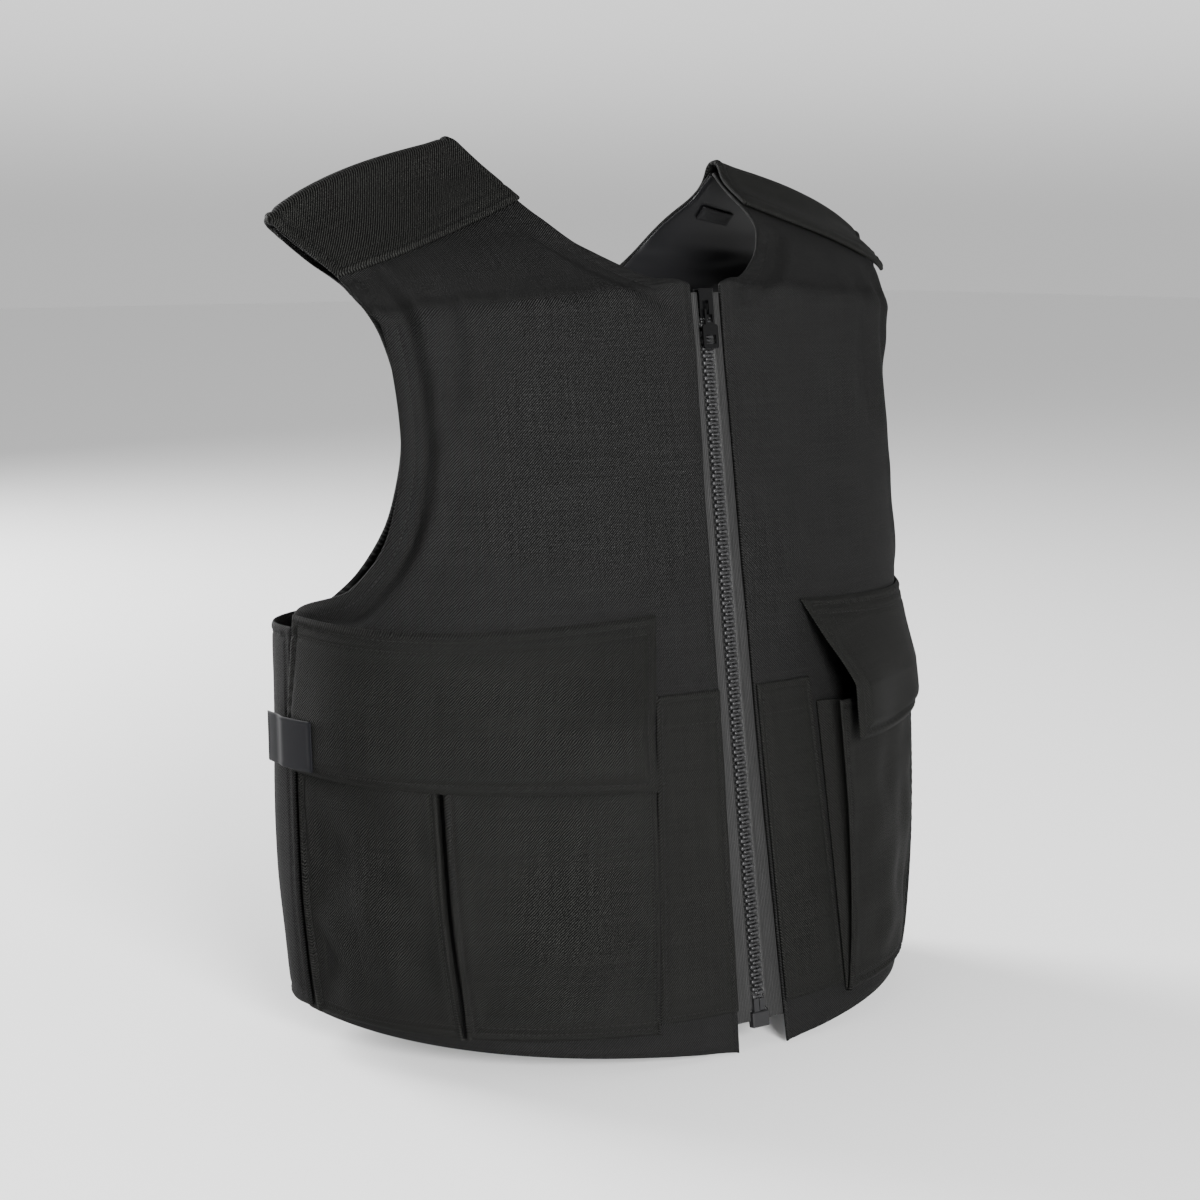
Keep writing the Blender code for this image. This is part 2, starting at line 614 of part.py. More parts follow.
def comb(name, outline, low, wall, finish):
    """A flat piece with a long outline: one face, extruded to its thickness."""
    bm = bmesh.new()
    face = bm.faces.new([bm.verts.new((x, y, low)) for x, y in outline])
    top = bmesh.ops.extrude_face_region(bm, geom=[face])["geom"]
    bmesh.ops.translate(bm, verts=[v for v in top if isinstance(v, bmesh.types.BMVert)], vec=(0, 0, wall))
    bmesh.ops.triangulate(bm, faces=[f for f in bm.faces if len(f.verts) > 4])
    bmesh.ops.recalc_face_normals(bm, faces=bm.faces)
    return add_object(name, bm, finish)


def zip_chain():
    """The tapes behind the panels' zip edges, and the two meshing rows of teeth."""
    for side, sign, first in (("right", -1, 0.0), ("left", 1, TOOTH_PITCH / 2)):
        notch, notch_top = TAPE_NOTCH
        tape = [(TAPE_INNER, TAPE_SPAN[1]), (TAPE_OUTER, TAPE_SPAN[1]), (TAPE_OUTER, TAPE_SPAN[0]),
                (notch, TAPE_SPAN[0]), (notch, notch_top), (TAPE_INNER, notch_top)]
        tape = [(sign * x, y) for x, y in tape]
        zip_frame(comb(f"zip_tape_{side}", tape, TAPE_TOP - TAPE_WALL, TAPE_WALL, "tape"))
        bar_inner, bar_outer = CHAIN_BAR
        outline = [(bar_outer, CHAIN_END), (bar_outer, CHAIN_START)]
        start = CHAIN_START + first
        while start + TOOTH_WIDTH <= CHAIN_END:
            outline += [(bar_inner, start), (-TOOTH_TIP, start + TOOTH_WIDTH * 0.12),
                        (-TOOTH_TIP, start + TOOTH_WIDTH * 0.88), (bar_inner, start + TOOTH_WIDTH)]
            start += TOOTH_PITCH
        if first:
            outline.insert(2, (bar_inner, CHAIN_START))
        outline.append((bar_inner, CHAIN_END))
        outline = [(sign * x, y) for x, y in outline]
        zip_frame(comb(f"zip_teeth_{side}", outline, CHAIN_BACK, CHAIN_WALL, "chain"))


def union(made, other):
    joined = made.modifiers.new(other.name, "BOOLEAN")
    joined.operation = "UNION"
    joined.object = other
    other.hide_render = True
    other.display_type = "WIRE"


def zip_slider():
    """The slider at the top of the chain: two plates, the post between them and the crown that holds the puller."""
    low, high = SLIDER_SPAN
    half = SLIDER_HALF_WIDTH
    back_top = CHAIN_BACK - SEAT_GAP
    slider = block("zip_slider", (-half, low, CHAIN_TOP + SEAT_GAP), (half, high, FACE_TOP), "slider", None,
                   SLIDER_BEVEL)
    back = block("slider_back", (-half, low, back_top - PLATE_WALL), (half, high, back_top), "slider", TOOLS,
                 SLIDER_BEVEL)
    post = block("slider_post", (-POST_HALF_WIDTH, CHAIN_END + SEAT_GAP, back_top - PLATE_WALL / 2),
                 (POST_HALF_WIDTH, high - PLATE_WALL / 2, FACE_TOP - PLATE_WALL / 2), "slider", TOOLS)
    crown_low = AXIS_OUT + PULLER_BAR + SEAT_GAP
    crown = block("slider_crown", (-CROWN_HALF_WIDTH, AXIS_ALONG + CROWN_FEET[0][0], crown_low),
                  (CROWN_HALF_WIDTH, AXIS_ALONG + CROWN_FEET[1][1], crown_low + CROWN_WALL), "slider", TOOLS)
    union(slider, back)
    union(slider, post)
    union(slider, crown)
    for name, (start, end) in zip(("crown_foot_low", "crown_foot_high"), CROWN_FEET):
        foot = block(name, (-CROWN_HALF_WIDTH, AXIS_ALONG + start, FACE_TOP - PLATE_WALL / 2),
                     (CROWN_HALF_WIDTH, AXIS_ALONG + end, crown_low + CROWN_WALL / 2), "slider", TOOLS)
        union(slider, foot)


def zip_puller():
    """The puller, hanging from the crown on its top bar: a neck with an eye, and a blade with a window."""
    neck_half, neck_end = PULLER_NECK
    eye_half, eye_end = PULLER_EYE
    blade_half, blade_end = PULLER_BLADE
    window_half, window_start, window_end = PULLER_WINDOW
    corner = PULLER_CORNER
    outer = [(-neck_half, PULLER_BAR), (-neck_half, -neck_end), (-blade_half + corner, -neck_end),
             (-blade_half, -neck_end - corner), (-blade_half, -blade_end + corner),
             (-blade_half + corner, -blade_end)]
    outer += [(-x, y) for x, y in reversed(outer)]
    eye = [(-eye_half, -PULLER_BAR), (eye_half, -PULLER_BAR), (eye_half, -eye_end), (-eye_half, -eye_end)]
    window = [(-window_half, -window_start), (window_half, -window_start), (window_half, -window_end),
              (-window_half, -window_end)]
    puller = flat_outline("zip_puller", [outer, eye, window], -PULLER_BAR, 2 * PULLER_BAR, "slider")
    zip_frame(puller, AXIS_ALONG, AXIS_OUT)


def zip_foot():
    """The retaining box and its fixed pin in one, and the pin that goes into the box."""
    half, length, wall = BOX_SIZE[0] / 2, BOX_SIZE[1], BOX_SIZE[2]
    low, high = CHAIN_MIDDLE - wall / 2, CHAIN_MIDDLE + wall / 2
    box = block("zip_box", (-half, BOX_ALONG - length / 2, low), (half, BOX_ALONG + length / 2, high),
                "chain", None, BOX_BEVEL)
    inner, outer = PIN_ACROSS
    fixed = block("fixed_pin", (-outer, BOX_ALONG, CHAIN_BACK), (-inner, PIN_SPAN[1], CHAIN_TOP), "chain", TOOLS)
    union(box, fixed)
    block("zip_pin", (inner, PIN_SPAN[0], CHAIN_BACK), (outer, PIN_SPAN[1], CHAIN_TOP), "chain")


for leftover in list(bpy.data.objects):
    bpy.data.objects.remove(leftover)
PARTS = new_collection("stab_vest")
TOOLS = new_collection("joined_shapes")
front_panels()
back_panel()
shoulder_straps()
side_panels()
bellows_pockets()
flaps_and_label()
slip_pockets()
neck_label()
zip_chain()
zip_slider()
zip_puller()
zip_foot()
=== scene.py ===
"""A black stab vest, empty and standing in its worn shape, on a pale floor in soft studio light.

Lengths are metres in the row's frame: +X is the wearer's left, the front faces -Y, +Z is up, and the
origin is where the vest rests on the shoulders. Heights in the tables count from the hem.
"""

import math

import bpy
import numpy as np
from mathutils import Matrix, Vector


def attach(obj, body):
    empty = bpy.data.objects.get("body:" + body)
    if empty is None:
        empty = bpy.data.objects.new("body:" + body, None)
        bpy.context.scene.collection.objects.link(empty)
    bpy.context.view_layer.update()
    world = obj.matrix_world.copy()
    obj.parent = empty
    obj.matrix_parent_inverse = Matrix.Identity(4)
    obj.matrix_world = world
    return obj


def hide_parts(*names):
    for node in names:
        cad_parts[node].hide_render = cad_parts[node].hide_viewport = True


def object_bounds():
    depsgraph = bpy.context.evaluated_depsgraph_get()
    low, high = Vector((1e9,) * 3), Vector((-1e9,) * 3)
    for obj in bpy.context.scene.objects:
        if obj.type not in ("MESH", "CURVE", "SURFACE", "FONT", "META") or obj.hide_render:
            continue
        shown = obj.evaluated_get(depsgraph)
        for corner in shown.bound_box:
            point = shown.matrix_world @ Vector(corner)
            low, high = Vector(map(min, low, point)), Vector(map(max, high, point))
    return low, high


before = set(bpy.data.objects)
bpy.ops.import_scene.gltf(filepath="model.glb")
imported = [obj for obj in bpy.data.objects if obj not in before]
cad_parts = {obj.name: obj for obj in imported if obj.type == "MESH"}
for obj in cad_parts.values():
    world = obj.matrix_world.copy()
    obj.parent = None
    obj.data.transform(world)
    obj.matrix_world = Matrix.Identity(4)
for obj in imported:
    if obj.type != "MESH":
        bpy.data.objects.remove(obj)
cad_low, cad_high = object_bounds()


# The worn form. The carrier is cut and sewn to stand round a chest: its section is a squared oval at each
# height, and above the armpit the front and back close to a ridge where the vest rests on the shoulders.
SEAT_HEIGHT = 0.530
FRONT, BACK = -1.0, 1.0

SECTION = dict(zip(("height", "half_width", "front_depth", "back_depth", "squareness"), np.array((
    (0.000, 0.2130, 0.1813, 0.0800, 2.25),
    (0.050, 0.2200, 0.1748, 0.0850, 2.25),
    (0.110, 0.2250, 0.1670, 0.0880, 2.25),
    (0.200, 0.2265, 0.1553, 0.0860, 2.25),
    (0.270, 0.2275, 0.1462, 0.0760, 2.35),
    (0.330, 0.2245, 0.1384, 0.0560, 2.45),
    (0.380, 0.2235, 0.1319, 0.0465, 2.50),
    (0.430, 0.2270, 0.1254, 0.0460, 2.50),
    (0.470, 0.2390, 0.1202, 0.0520, 2.50),
    (0.510, 0.2510, 0.1150, 0.0620, 2.50),
    (0.560, 0.2620, 0.1085, 0.0700, 2.50),
)).T))
RIDGE = dict(zip(("across", "height"), np.array((
    (0.000, 0.581), (0.060, 0.568), (0.090, 0.556), (0.114, 0.549), (0.145, 0.541),
    (0.175, 0.532), (0.205, 0.521), (0.221, 0.513), (0.238, 0.499), (0.260, 0.476),
)).T))
ARCH = dict(zip(("rise", "depth_share"), np.array((
    (0.00, 1.000), (0.20, 1.000), (0.36, 1.000), (0.49, 0.880), (0.60, 0.735),
    (0.715, 0.520), (0.85, 0.270), (1.00, 0.000),
)).T))
ARCH_BASE = 0.400
ARCH_HEIGHT = 0.12  # a first guess of the ridge's height above the base, for height_at
HEIGHT_ROUNDS = 12
LEFT_DROP = 0.011  # the wearer's left shoulder hangs lower
DROP_START = 0.66
DROP_ACROSS = 0.10


def smooth(knots, values, at):
    """A table's column between its rows: cubics whose slope at a row is the harmonic mean of the slopes
    on its two sides, or level where those differ in sign, so that nothing overshoots."""
    steps = np.diff(values) / np.diff(knots)
    before, after = steps[:-1], steps[1:]
    same_way = before * after > 0
    inner = np.where(same_way, 2 * before * after / np.where(same_way, before + after, 1.0), 0.0)
    slopes = np.concatenate([steps[:1], inner, steps[-1:]])
    at = np.asarray(at, dtype=float)
    row = np.clip(np.searchsorted(knots, at, side="right") - 1, 0, len(knots) - 2)
    width = knots[row + 1] - knots[row]
    s = np.clip((at - knots[row]) / width, 0.0, 1.0)
    rise = values[row] * (1 + 2 * s) * (1 - s) ** 2 + values[row + 1] * s * s * (3 - 2 * s)
    return rise + width * s * (1 - s) * (slopes[row] * (1 - s) - slopes[row + 1] * s)


def ease(share):
    """0 to 1 with level ends."""
    share = np.clip(share, 0.0, 1.0)
    return share * share * (3 - 2 * share)


def mix(a, b, share):
    return a + (b - a) * share


def bump(x, middle, width):
    """A soft hill of height 1 at the middle, as wide as the normal curve of that width."""
    return np.exp(-(((x - middle) / width) ** 2))


def section(name, height):
    return smooth(SECTION["height"], SECTION[name], height)


def ridge(across):
    return smooth(RIDGE["across"], RIDGE["height"], across)


def angle_at(across, height):
    """The angle round the section of a place across the vest."""
    share = np.clip(across / section("half_width", height), 0.0, 1.0)
    return np.arcsin(share ** (section("squareness", height) / 2))


def across_at(angle, height):
    return section("half_width", height) * np.sin(angle) ** (2 / section("squareness", height))


def level_at(across, height):
    """-1 at the hem, 0 at the arch's base and 1 at the ridge."""
    above = (height - ARCH_BASE) / (ridge(across) - ARCH_BASE)
    return np.where(height > ARCH_BASE, above, height / ARCH_BASE - 1)


def height_at(angle, level):
    """The height of a level, found by a few rounds, because the ridge's height depends on the place
    across."""
    height = ARCH_BASE * (1 + np.minimum(level, 0.0)) + ARCH_HEIGHT * np.maximum(level, 0.0)
    for _ in range(HEIGHT_ROUNDS):
        top = ridge(across_at(angle, height))
        height = np.where(level > 0, ARCH_BASE + level * (top - ARCH_BASE), height)
    return height


def torso(half, angle, height, side):
    """A point of the padded face. Across is half the width times sin(angle) to the power 2/n, depth is
    the front or back depth times cos(angle) to the same power, and the depth closes along the arch
    towards the ridge. On the left side the shoulder is lowered with a level start and end."""
    power = 2 / section("squareness", height)
    across = section("half_width", height) * np.sin(angle) ** power
    depth = np.where(half < 0, section("front_depth", height), section("back_depth", height))
    rise = (height - ARCH_BASE) / (ridge(across) - ARCH_BASE)
    share = np.where(rise > 0, smooth(ARCH["rise"], ARCH["depth_share"], rise), 1.0)
    along = half * depth * np.abs(np.cos(angle)) ** power * share
    up = np.broadcast_to(height, across.shape).astype(float)
    if side == "left":
        up = up - LEFT_DROP * ease((rise - DROP_START) / (1 - DROP_START)) * ease(across / DROP_ACROSS)
    return np.stack(np.broadcast_arrays(across, along, up), axis=-1)


def outward(half, angle, height, side):
    """The unit normal of the padded face: the cross product of a small step round the section and one up
    it."""
    step = 0.002
    low = np.clip(angle - step, 1e-3, None)
    round_it = torso(half, low + 2 * step, height, side) - torso(half, low, height, side)
    up = torso(half, angle, height + step, side) - torso(half, angle, height - step, side)
    normal = np.cross(round_it, up) * -np.sign(half)[..., None]
    return normal / np.linalg.norm(normal, axis=-1, keepdims=True)


def outward_grid(half, angle, height, side):
    """The padded face's unit normals at a panel's grid, on its own side of the vest."""
    normal = outward(np.broadcast_to(half, angle.shape), angle, height, side)
    return normal if side == "left" else normal * (-1, 1, 1)


def placed(points, side):
    """A grid made on the left half, on its side of the vest and with the shoulders' seat at the
    origin."""
    points = points - (0, 0, SEAT_HEIGHT)
    return points if side == "left" else points * (-1, 1, 1)


def raised(half, angle, height, distance, side):
    """Points at a distance above the padded face, along its normal."""
    half, angle, height, distance = np.broadcast_arrays(half, angle, height, distance)
    normal = outward(half, angle, height, side)
    return placed(torso(half, angle, height, side) + normal * distance[..., None], side)


def lengths(points, axis):
    """The length run along a grid's lines from their first point."""
    steps = np.linalg.norm(np.diff(points, axis=axis), axis=-1)
    start = np.zeros_like(np.take(steps, [0], axis))
    return np.concatenate([start, np.cumsum(steps, axis=axis)], axis=axis)


def distance_to(points, line):
    """Each grid point's distance to the nearest point of a line."""
    flat = points.reshape(-1, 3)
    nearest = np.full(len(flat), np.inf)
    for part in np.array_split(line, max(1, len(line) // 40)):
        nearest = np.minimum(nearest, np.linalg.norm(flat[:, None] - part[None], axis=-1).min(axis=1))
    return nearest.reshape(points.shape[:2])


def face_normals(points, out_side):
    """Unit normals of a grid from the steps to its neighbours. out_side is a grid of points further
    out."""
    normal = np.cross(np.gradient(points, axis=1), np.gradient(points, axis=0))
    normal /= np.maximum(np.linalg.norm(normal, axis=-1, keepdims=True), 1e-12)
    return normal * np.sign(np.median((normal * out_side).sum(axis=-1)))


RIM_TURNS = np.radians((35.0, 90.0, 145.0))


def closed_sheet(name, face, back, quads, finish, uv, rim=1.0):
    """A closed sheet from its face and back points and the quads between them. Where a quad's edge has no
    neighbour, the two sides are joined over a half oval: its long half axis is half the wall, and it is
    pushed out, away from the middle of the quads next to it."""
    used, quads = np.unique(quads, return_inverse=True)
    face, back, uv, quads = face[used], back[used], uv[used], quads.reshape(-1, 4)
    edges = np.stack([quads, np.roll(quads, -1, axis=1)], axis=-1).reshape(-1, 2)
    _, first, times = np.unique(np.sort(edges, axis=1), axis=0, return_index=True, return_counts=True)
    open_edges = edges[first[times == 1]]
    loop, ends = np.unique(open_edges, return_inverse=True)
    ends = ends.reshape(-1, 2)
    total, count = np.zeros_like(face), np.zeros((len(face), 1))
    np.add.at(total, quads, face[quads].mean(axis=1)[:, None])
    np.add.at(count, quads, 1.0)
    half = (face[loop] - back[loop]) / 2
    thick = np.linalg.norm(half, axis=1, keepdims=True)
    away = face[loop] - total[loop] / count[loop]
    away -= half * (away * half).sum(axis=1, keepdims=True) / thick ** 2
    away /= np.maximum(np.linalg.norm(away, axis=1, keepdims=True), 1e-9)
    middle = (face[loop] + back[loop]) / 2
    rings = [middle + half * np.cos(turn) + away * thick * np.sin(turn) * rim for turn in RIM_TURNS]
    points = np.concatenate([face, back, *rings])
    chain = [loop, *(2 * len(face) + k * len(loop) + np.arange(len(loop)) for k in range(len(rings))),
             loop + len(face)]
    around = [np.stack([near[ends[:, 1]], near[ends[:, 0]], far[ends[:, 0]], far[ends[:, 1]]], axis=-1)
              for near, far in zip(chain[:-1], chain[1:])]
    faces = np.concatenate([quads, quads[:, ::-1] + len(face), *around])
    uvs = np.concatenate([uv, uv, *(uv[loop] for _ in rings)])
    mesh = bpy.data.meshes.new(name)
    mesh.vertices.add(len(points))
    mesh.vertices.foreach_set("co", points.reshape(-1))
    mesh.loops.add(faces.size)
    mesh.loops.foreach_set("vertex_index", faces.reshape(-1))
    mesh.polygons.add(len(faces))
    mesh.polygons.foreach_set("loop_start", np.arange(len(faces)) * 4)
    mesh.update(calc_edges=True)
    mesh.validate()
    layer = mesh.uv_layers.new(name="cloth")
    layer.data.foreach_set("uv", uvs[faces.reshape(-1)].reshape(-1))
    if signed_volume(points, faces) < 0:
        mesh.flip_normals()
    mesh.shade_smooth()
    return add_piece(name, mesh, finish)


def grid_quads(number):
    """The quads of a grid whose points carry these numbers."""
    corners = number[:-1, :-1], number[:-1, 1:], number[1:, 1:], number[1:, :-1]
    return np.stack(corners, axis=-1).reshape(-1, 4)


def shell(name, face, back, finish, uv=None, rim=1.0):
    """A closed sheet from two like grids, its face and its back."""
    if uv is None:
        uv = np.stack([lengths(face, 1), lengths(face, 0)], axis=-1)
    number = np.arange(face.shape[0] * face.shape[1]).reshape(face.shape[:2])
    return closed_sheet(name, face.reshape(-1, 3), back.reshape(-1, 3), grid_quads(number), finish,
                        uv.reshape(-1, 2), rim)


def signed_volume(points, faces):
    """The volume inside a closed mesh: a sixth of the triple product of each triangle's corners, added
    up."""
    a, b, c, d = (points[faces[:, k]] for k in range(4))
    return ((a * np.cross(b, c)).sum() + (a * np.cross(c, d)).sum()) / 6


def add_piece(name, mesh, finish):
    """An object with its place in its mesh, and its finish."""
    piece = bpy.data.objects.new(name, mesh)
    piece.data.materials.append(finish)
    bpy.context.scene.collection.objects.link(piece)
    return piece


# The carrier cloth: a near-black twill of spun polyester, matt, with fine diagonal ribs and slubs. Its
# colour runs from near black in the grooves between the ribs, a painted shade, to the yarn's own dark grey
# on the rib tops and slubs. The pattern follows the piece's own UV map, which is in metres, so the twill
# turns with the cloth.
class Wave:
    """A socket of a material, on which plain maths adds Math nodes."""

    def __init__(self, tree, socket):
        self.tree, self.socket = tree, socket

    def node(self, kind, settings=None, inputs=None, out=0):
        """A node of a type, with its settings made first and then the values or links of its sockets."""
        made = self.tree.nodes.new(kind)
        for key, value in (settings or {}).items():
            if key == "stops":
                for stop, (place, grey) in zip(made.color_ramp.elements, value):
                    stop.position, stop.color = place, (grey, grey, grey, 1)
            else:
                setattr(made, key, value)
        for key, value in (inputs or {}).items():
            if isinstance(value, Wave):
                self.tree.links.new(value.socket, made.inputs[key])
            else:
                made.inputs[key].default_value = value
        return Wave(self.tree, made.outputs[out])

    def maths(self, operation, *values):
        return self.node("ShaderNodeMath", {"operation": operation}, dict(enumerate(values)))

    def __add__(self, other):
        return self.maths("ADD", self, other)

    def __sub__(self, other):
        return self.maths("SUBTRACT", self, other)

    def __rsub__(self, other):
        return self.maths("SUBTRACT", other, self)

    def __mul__(self, other):
        return self.maths("MULTIPLY", self, other)

    __radd__, __rmul__ = __add__, __mul__

    def sine(self):
        return self.maths("SINE", self)

    def between(self, low, high):
        """0 below low, 1 above high and smooth between."""
        return self.node("ShaderNodeMapRange", {"interpolation_type": "SMOOTHSTEP"},
                         {"Value": self, "From Min": low, "From Max": high})

    def feed(self, shader, name):
        self.tree.links.new(self.socket, shader.inputs[name])


def new_material(name, colour, roughness):
    """A Principled material with its colour and roughness, its shader, and the start of its maths."""
    made = bpy.data.materials.new(name)
    made.use_nodes = True
    shader = made.node_tree.nodes["Principled BSDF"]
    shader.inputs["Base Color"].default_value = (*colour, 1.0)
    shader.inputs["Roughness"].default_value = roughness
    return made, shader, Wave(made.node_tree, shader.inputs["Roughness"])


def tint(wave, share, dark, light):
    """A colour between two, by a share that varies over the surface."""
    return wave.node("ShaderNodeMix", {"data_type": "RGBA"},
                     {0: share, 6: (*dark, 1.0), 7: (*light, 1.0)}, out=2)


def noise(wave, place, scale, detail=2.0):
    return wave.node("ShaderNodeTexNoise", {"noise_dimensions": "3D"},
                     {"Vector": place, "Scale": scale, "Detail": detail})


def stretched(wave, uv, across, up):
    """The UV map with its two directions scaled, so that a noise on it is drawn out along one of them."""
    return wave.node("ShaderNodeMapping", inputs={0: uv, 3: (across, up, 1.0)})


def emboss(wave, shader, height, distance, strength):
    """A Bump node of a height that varies over the surface, fed into the shader's Normal."""
    inputs = {"Strength": strength, "Distance": distance, "Height": height}
    wave.node("ShaderNodeBump", inputs=inputs).feed(shader, "Normal")


TWILL_PITCH = 0.00165  # from one diagonal rib to the next, along the weft
YARN_PITCH = 0.00105
SLUB_LENGTHWAYS = 14.0  # noise cells to the metre along a yarn
YARN_CROSSWAYS = 900.0  # and across it


def twill(name, dark, light, roughness=0.72, slope=1.0, pitch=TWILL_PITCH, relief=0.00036, gloss=0.045):
    """Twill: ribs on a diagonal, broken up by the yarns that cross them, with uneven yarns along both
    threads."""
    made, shader, wave = new_material(name, dark, roughness)
    uv = wave.node("ShaderNodeTexCoord", out=2)
    along = wave.node("ShaderNodeSeparateXYZ", inputs={0: uv}, out=0)
    up = wave.node("ShaderNodeSeparateXYZ", inputs={0: uv}, out=1)
    turn = 2 * math.pi
    uneven = noise(wave, uv, YARN_CROSSWAYS) - 0.5
    ribs = ((along + up * slope) * (turn / pitch) + uneven * 1.5).sine() * 0.5 + 0.5
    yarns = ((along * (turn / YARN_PITCH)).sine() * (up * (turn / YARN_PITCH)).sine()) * 0.5 + 0.5
    rows = stretched(wave, uv, SLUB_LENGTHWAYS, YARN_CROSSWAYS)
    columns = stretched(wave, uv, YARN_CROSSWAYS, SLUB_LENGTHWAYS)
    slubs = (noise(wave, rows, 1.0) - 0.5) + (noise(wave, columns, 1.0) - 0.5)
    cloth = ribs * 0.70 + yarns * 0.30
    share = (cloth * 0.90 + slubs * 0.22 + uneven * 0.7 + 0.02).between(0.30, 1.05)
    # The weave's share paints shade: the dark colour stands for the shade in the grooves between the ribs,
    # the light one is the yarn on the rib tops.
    tint(wave, share, dark, light).feed(shader, "Base Color")
    (share * -0.10 + (roughness + 0.05)).feed(shader, "Roughness")
    emboss(wave, shader, cloth + slubs * 0.25 + uneven * 0.4, relief, 0.85)
    shader.inputs["Specular IOR Level"].default_value = gloss
    return made


# Painted shade: the near-black colour of the grooves between the ribs, used as the twills' dark.
RIB_GROOVE_SHADE = (0.0003, 0.0003, 0.0003)
CARRIER = twill("carrier_cloth", RIB_GROOVE_SHADE, (0.0200, 0.0200, 0.0197))
POCKETING = twill("pocket_cloth", RIB_GROOVE_SHADE, (0.0190, 0.0192, 0.0178), slope=0.9)


# Stitching: polyester thread in lock stitches, each a short rounded bar that dips into the cloth at both
# ends. All the stitches of one piece are one mesh, because they are sewn into it and go where it goes.
STITCH_PITCH = 0.0034
STITCH_LENGTH = 0.0027
THREAD_RADIUS = 0.00030
STITCH_SIDES = 5
STITCH_RINGS = np.array((0.0, 0.28, 0.72, 1.0))
STITCH_SINK = np.array((-0.9, 0.35, 0.35, -0.9))  # in thread radii, at those rings
STITCH_TAPER = np.array((0.35, 1.0, 1.0, 0.35))


def thread_finish(name, colour):
    """Twisted thread: one colour, with a roughness that changes along the twist."""
    made, shader, wave = new_material(name, colour, 0.55)
    shader.inputs["Specular IOR Level"].default_value = 0.12
    twist = noise(wave, wave.node("ShaderNodeTexCoord", out=3), 2600.0)
    (twist * 0.3 + 0.5).feed(shader, "Roughness")
    return made


THREAD = thread_finish("sewing_thread", (0.0026, 0.0026, 0.0025))


def turns(sides):
    """The corners of a round with that many sides, in radians."""
    return np.arange(sides) * 2 * np.pi / sides


def capped(name, points, quads, caps, finish):
    """A piece of many small closed bars, from plain lists of their side faces and end faces."""
    mesh = bpy.data.meshes.new(name)
    mesh.from_pydata(points.reshape(-1, 3).tolist(), [], quads.tolist() + caps.tolist())
    mesh.shade_smooth()
    return add_piece(name, mesh, finish)


def seam_line(face, normal, rows, across):
    """A line on a grid at fractional rows and columns, mixed from the four corners round each place: its
    points and its normals."""
    rows = np.clip(np.asarray(rows, dtype=float), 0, face.shape[0] - 1.0001)
    across = np.clip(np.asarray(across, dtype=float), 0, face.shape[1] - 1.0001)
    rows, across = np.broadcast_arrays(rows, across)
    r, c = rows.astype(int), across.astype(int)
    fr, fc = (rows - r)[:, None], (across - c)[:, None]
    def at(grid):
        near = grid[r, c] * (1 - fc) + grid[r, c + 1] * fc
        far = grid[r + 1, c] * (1 - fc) + grid[r + 1, c + 1] * fc
        return near * (1 - fr) + far * fr
    return at(face), at(normal)


def place_along(run, length):
    """For each column of a grid, the fractional row at which a running length reaches the one asked
    for."""
    low = np.clip((run < length).sum(axis=0) - 1, 0, len(run) - 2)
    before = np.take_along_axis(run, low[None], axis=0)[0]
    after = np.take_along_axis(run, low[None] + 1, axis=0)[0]
    return low + np.clip((length - before) / (after - before), 0.0, 1.0)


def edge_line(face, normal, edge, inset, start=0.0, stop=0.0, run=None):
    """A line at an even distance inside one edge of a grid, cut short at its two ends: the grid is turned
    so that the edge is its first row, and each column gives the place where the length from the edge is
    the inset."""
    grids = [face, normal] + ([] if run is None else [run])
    if "column" in edge:
        grids = [np.swapaxes(grid, 0, 1) for grid in grids]
    if "last" in edge:
        grids = [grid[::-1] for grid in grids]
    face, normal = grids[:2]
    run = lengths(face, 0) if run is None else grids[2]
    points, normals = seam_line(face, normal, place_along(run, inset), np.arange(face.shape[1]))
    along = lengths(points, 0)
    kept = (along >= start) & (along <= along[-1] - stop)
    return points[kept], normals[kept]


def panel_seams(face, normal, lines):
    """Edge lines on a padded panel. Each is told by the distances that place it, the rows that it runs
    over, its edge, its inset, and what is left free at its two ends."""
    return [edge_line(face[kept], normal[kept], edge, inset, start, stop, run[kept])
            for run, kept, edge, inset, start, stop in lines]


def line_at(run, values, places):
    """The values of a line's points at some running lengths."""
    return np.stack([np.interp(places, run, values[:, k]) for k in range(3)], axis=-1)


def stitches(lines):
    """Points and faces of the stitches along some lines, each a pair of points and normals. A stitch is a
    five-sided bar along the line, which rises over the cloth by part of its radius in the middle and
    sinks at its ends."""
    starts, ends, ups = [], [], []
    for points, normals in lines:
        run = lengths(points, 0)
        first = np.arange(STITCH_PITCH * 0.3, run[-1] - STITCH_LENGTH, STITCH_PITCH)
        starts.append(line_at(run, points, first))
        ends.append(line_at(run, points, first + STITCH_LENGTH))
        ups.append(line_at(run, normals, first + STITCH_LENGTH / 2))
    start, end, up = np.concatenate(starts), np.concatenate(ends), np.concatenate(ups)
    up /= np.linalg.norm(up, axis=1, keepdims=True)
    along = end - start
    across = np.cross(up, along)
    across /= np.linalg.norm(across, axis=1, keepdims=True)
    turn = turns(STITCH_SIDES)[:, None]
    ring = across[:, None, None] * np.cos(turn) + up[:, None, None] * np.sin(turn)
    middle = start[:, None] + along[:, None] * STITCH_RINGS[None, :, None]
    middle = middle + up[:, None] * (STITCH_SINK * THREAD_RADIUS)[None, :, None]
    points = middle[:, :, None] + ring * (STITCH_TAPER * THREAD_RADIUS)[None, :, None, None]
    count, rings = len(start), len(STITCH_RINGS)
    number = np.arange(count * rings * STITCH_SIDES).reshape(count, rings, STITCH_SIDES)
    a, b = number[:, :-1], number[:, 1:]
    quads = np.stack([a, np.roll(a, -1, axis=2), np.roll(b, -1, axis=2), b], axis=-1).reshape(-1, 4)
    caps = np.concatenate([number[:, 0, ::-1], number[:, -1]])
    return points, quads, caps


def sew(name, lines):
    """One piece of all the stitches along the lines."""
    return capped(name, *stitches(lines), THREAD)


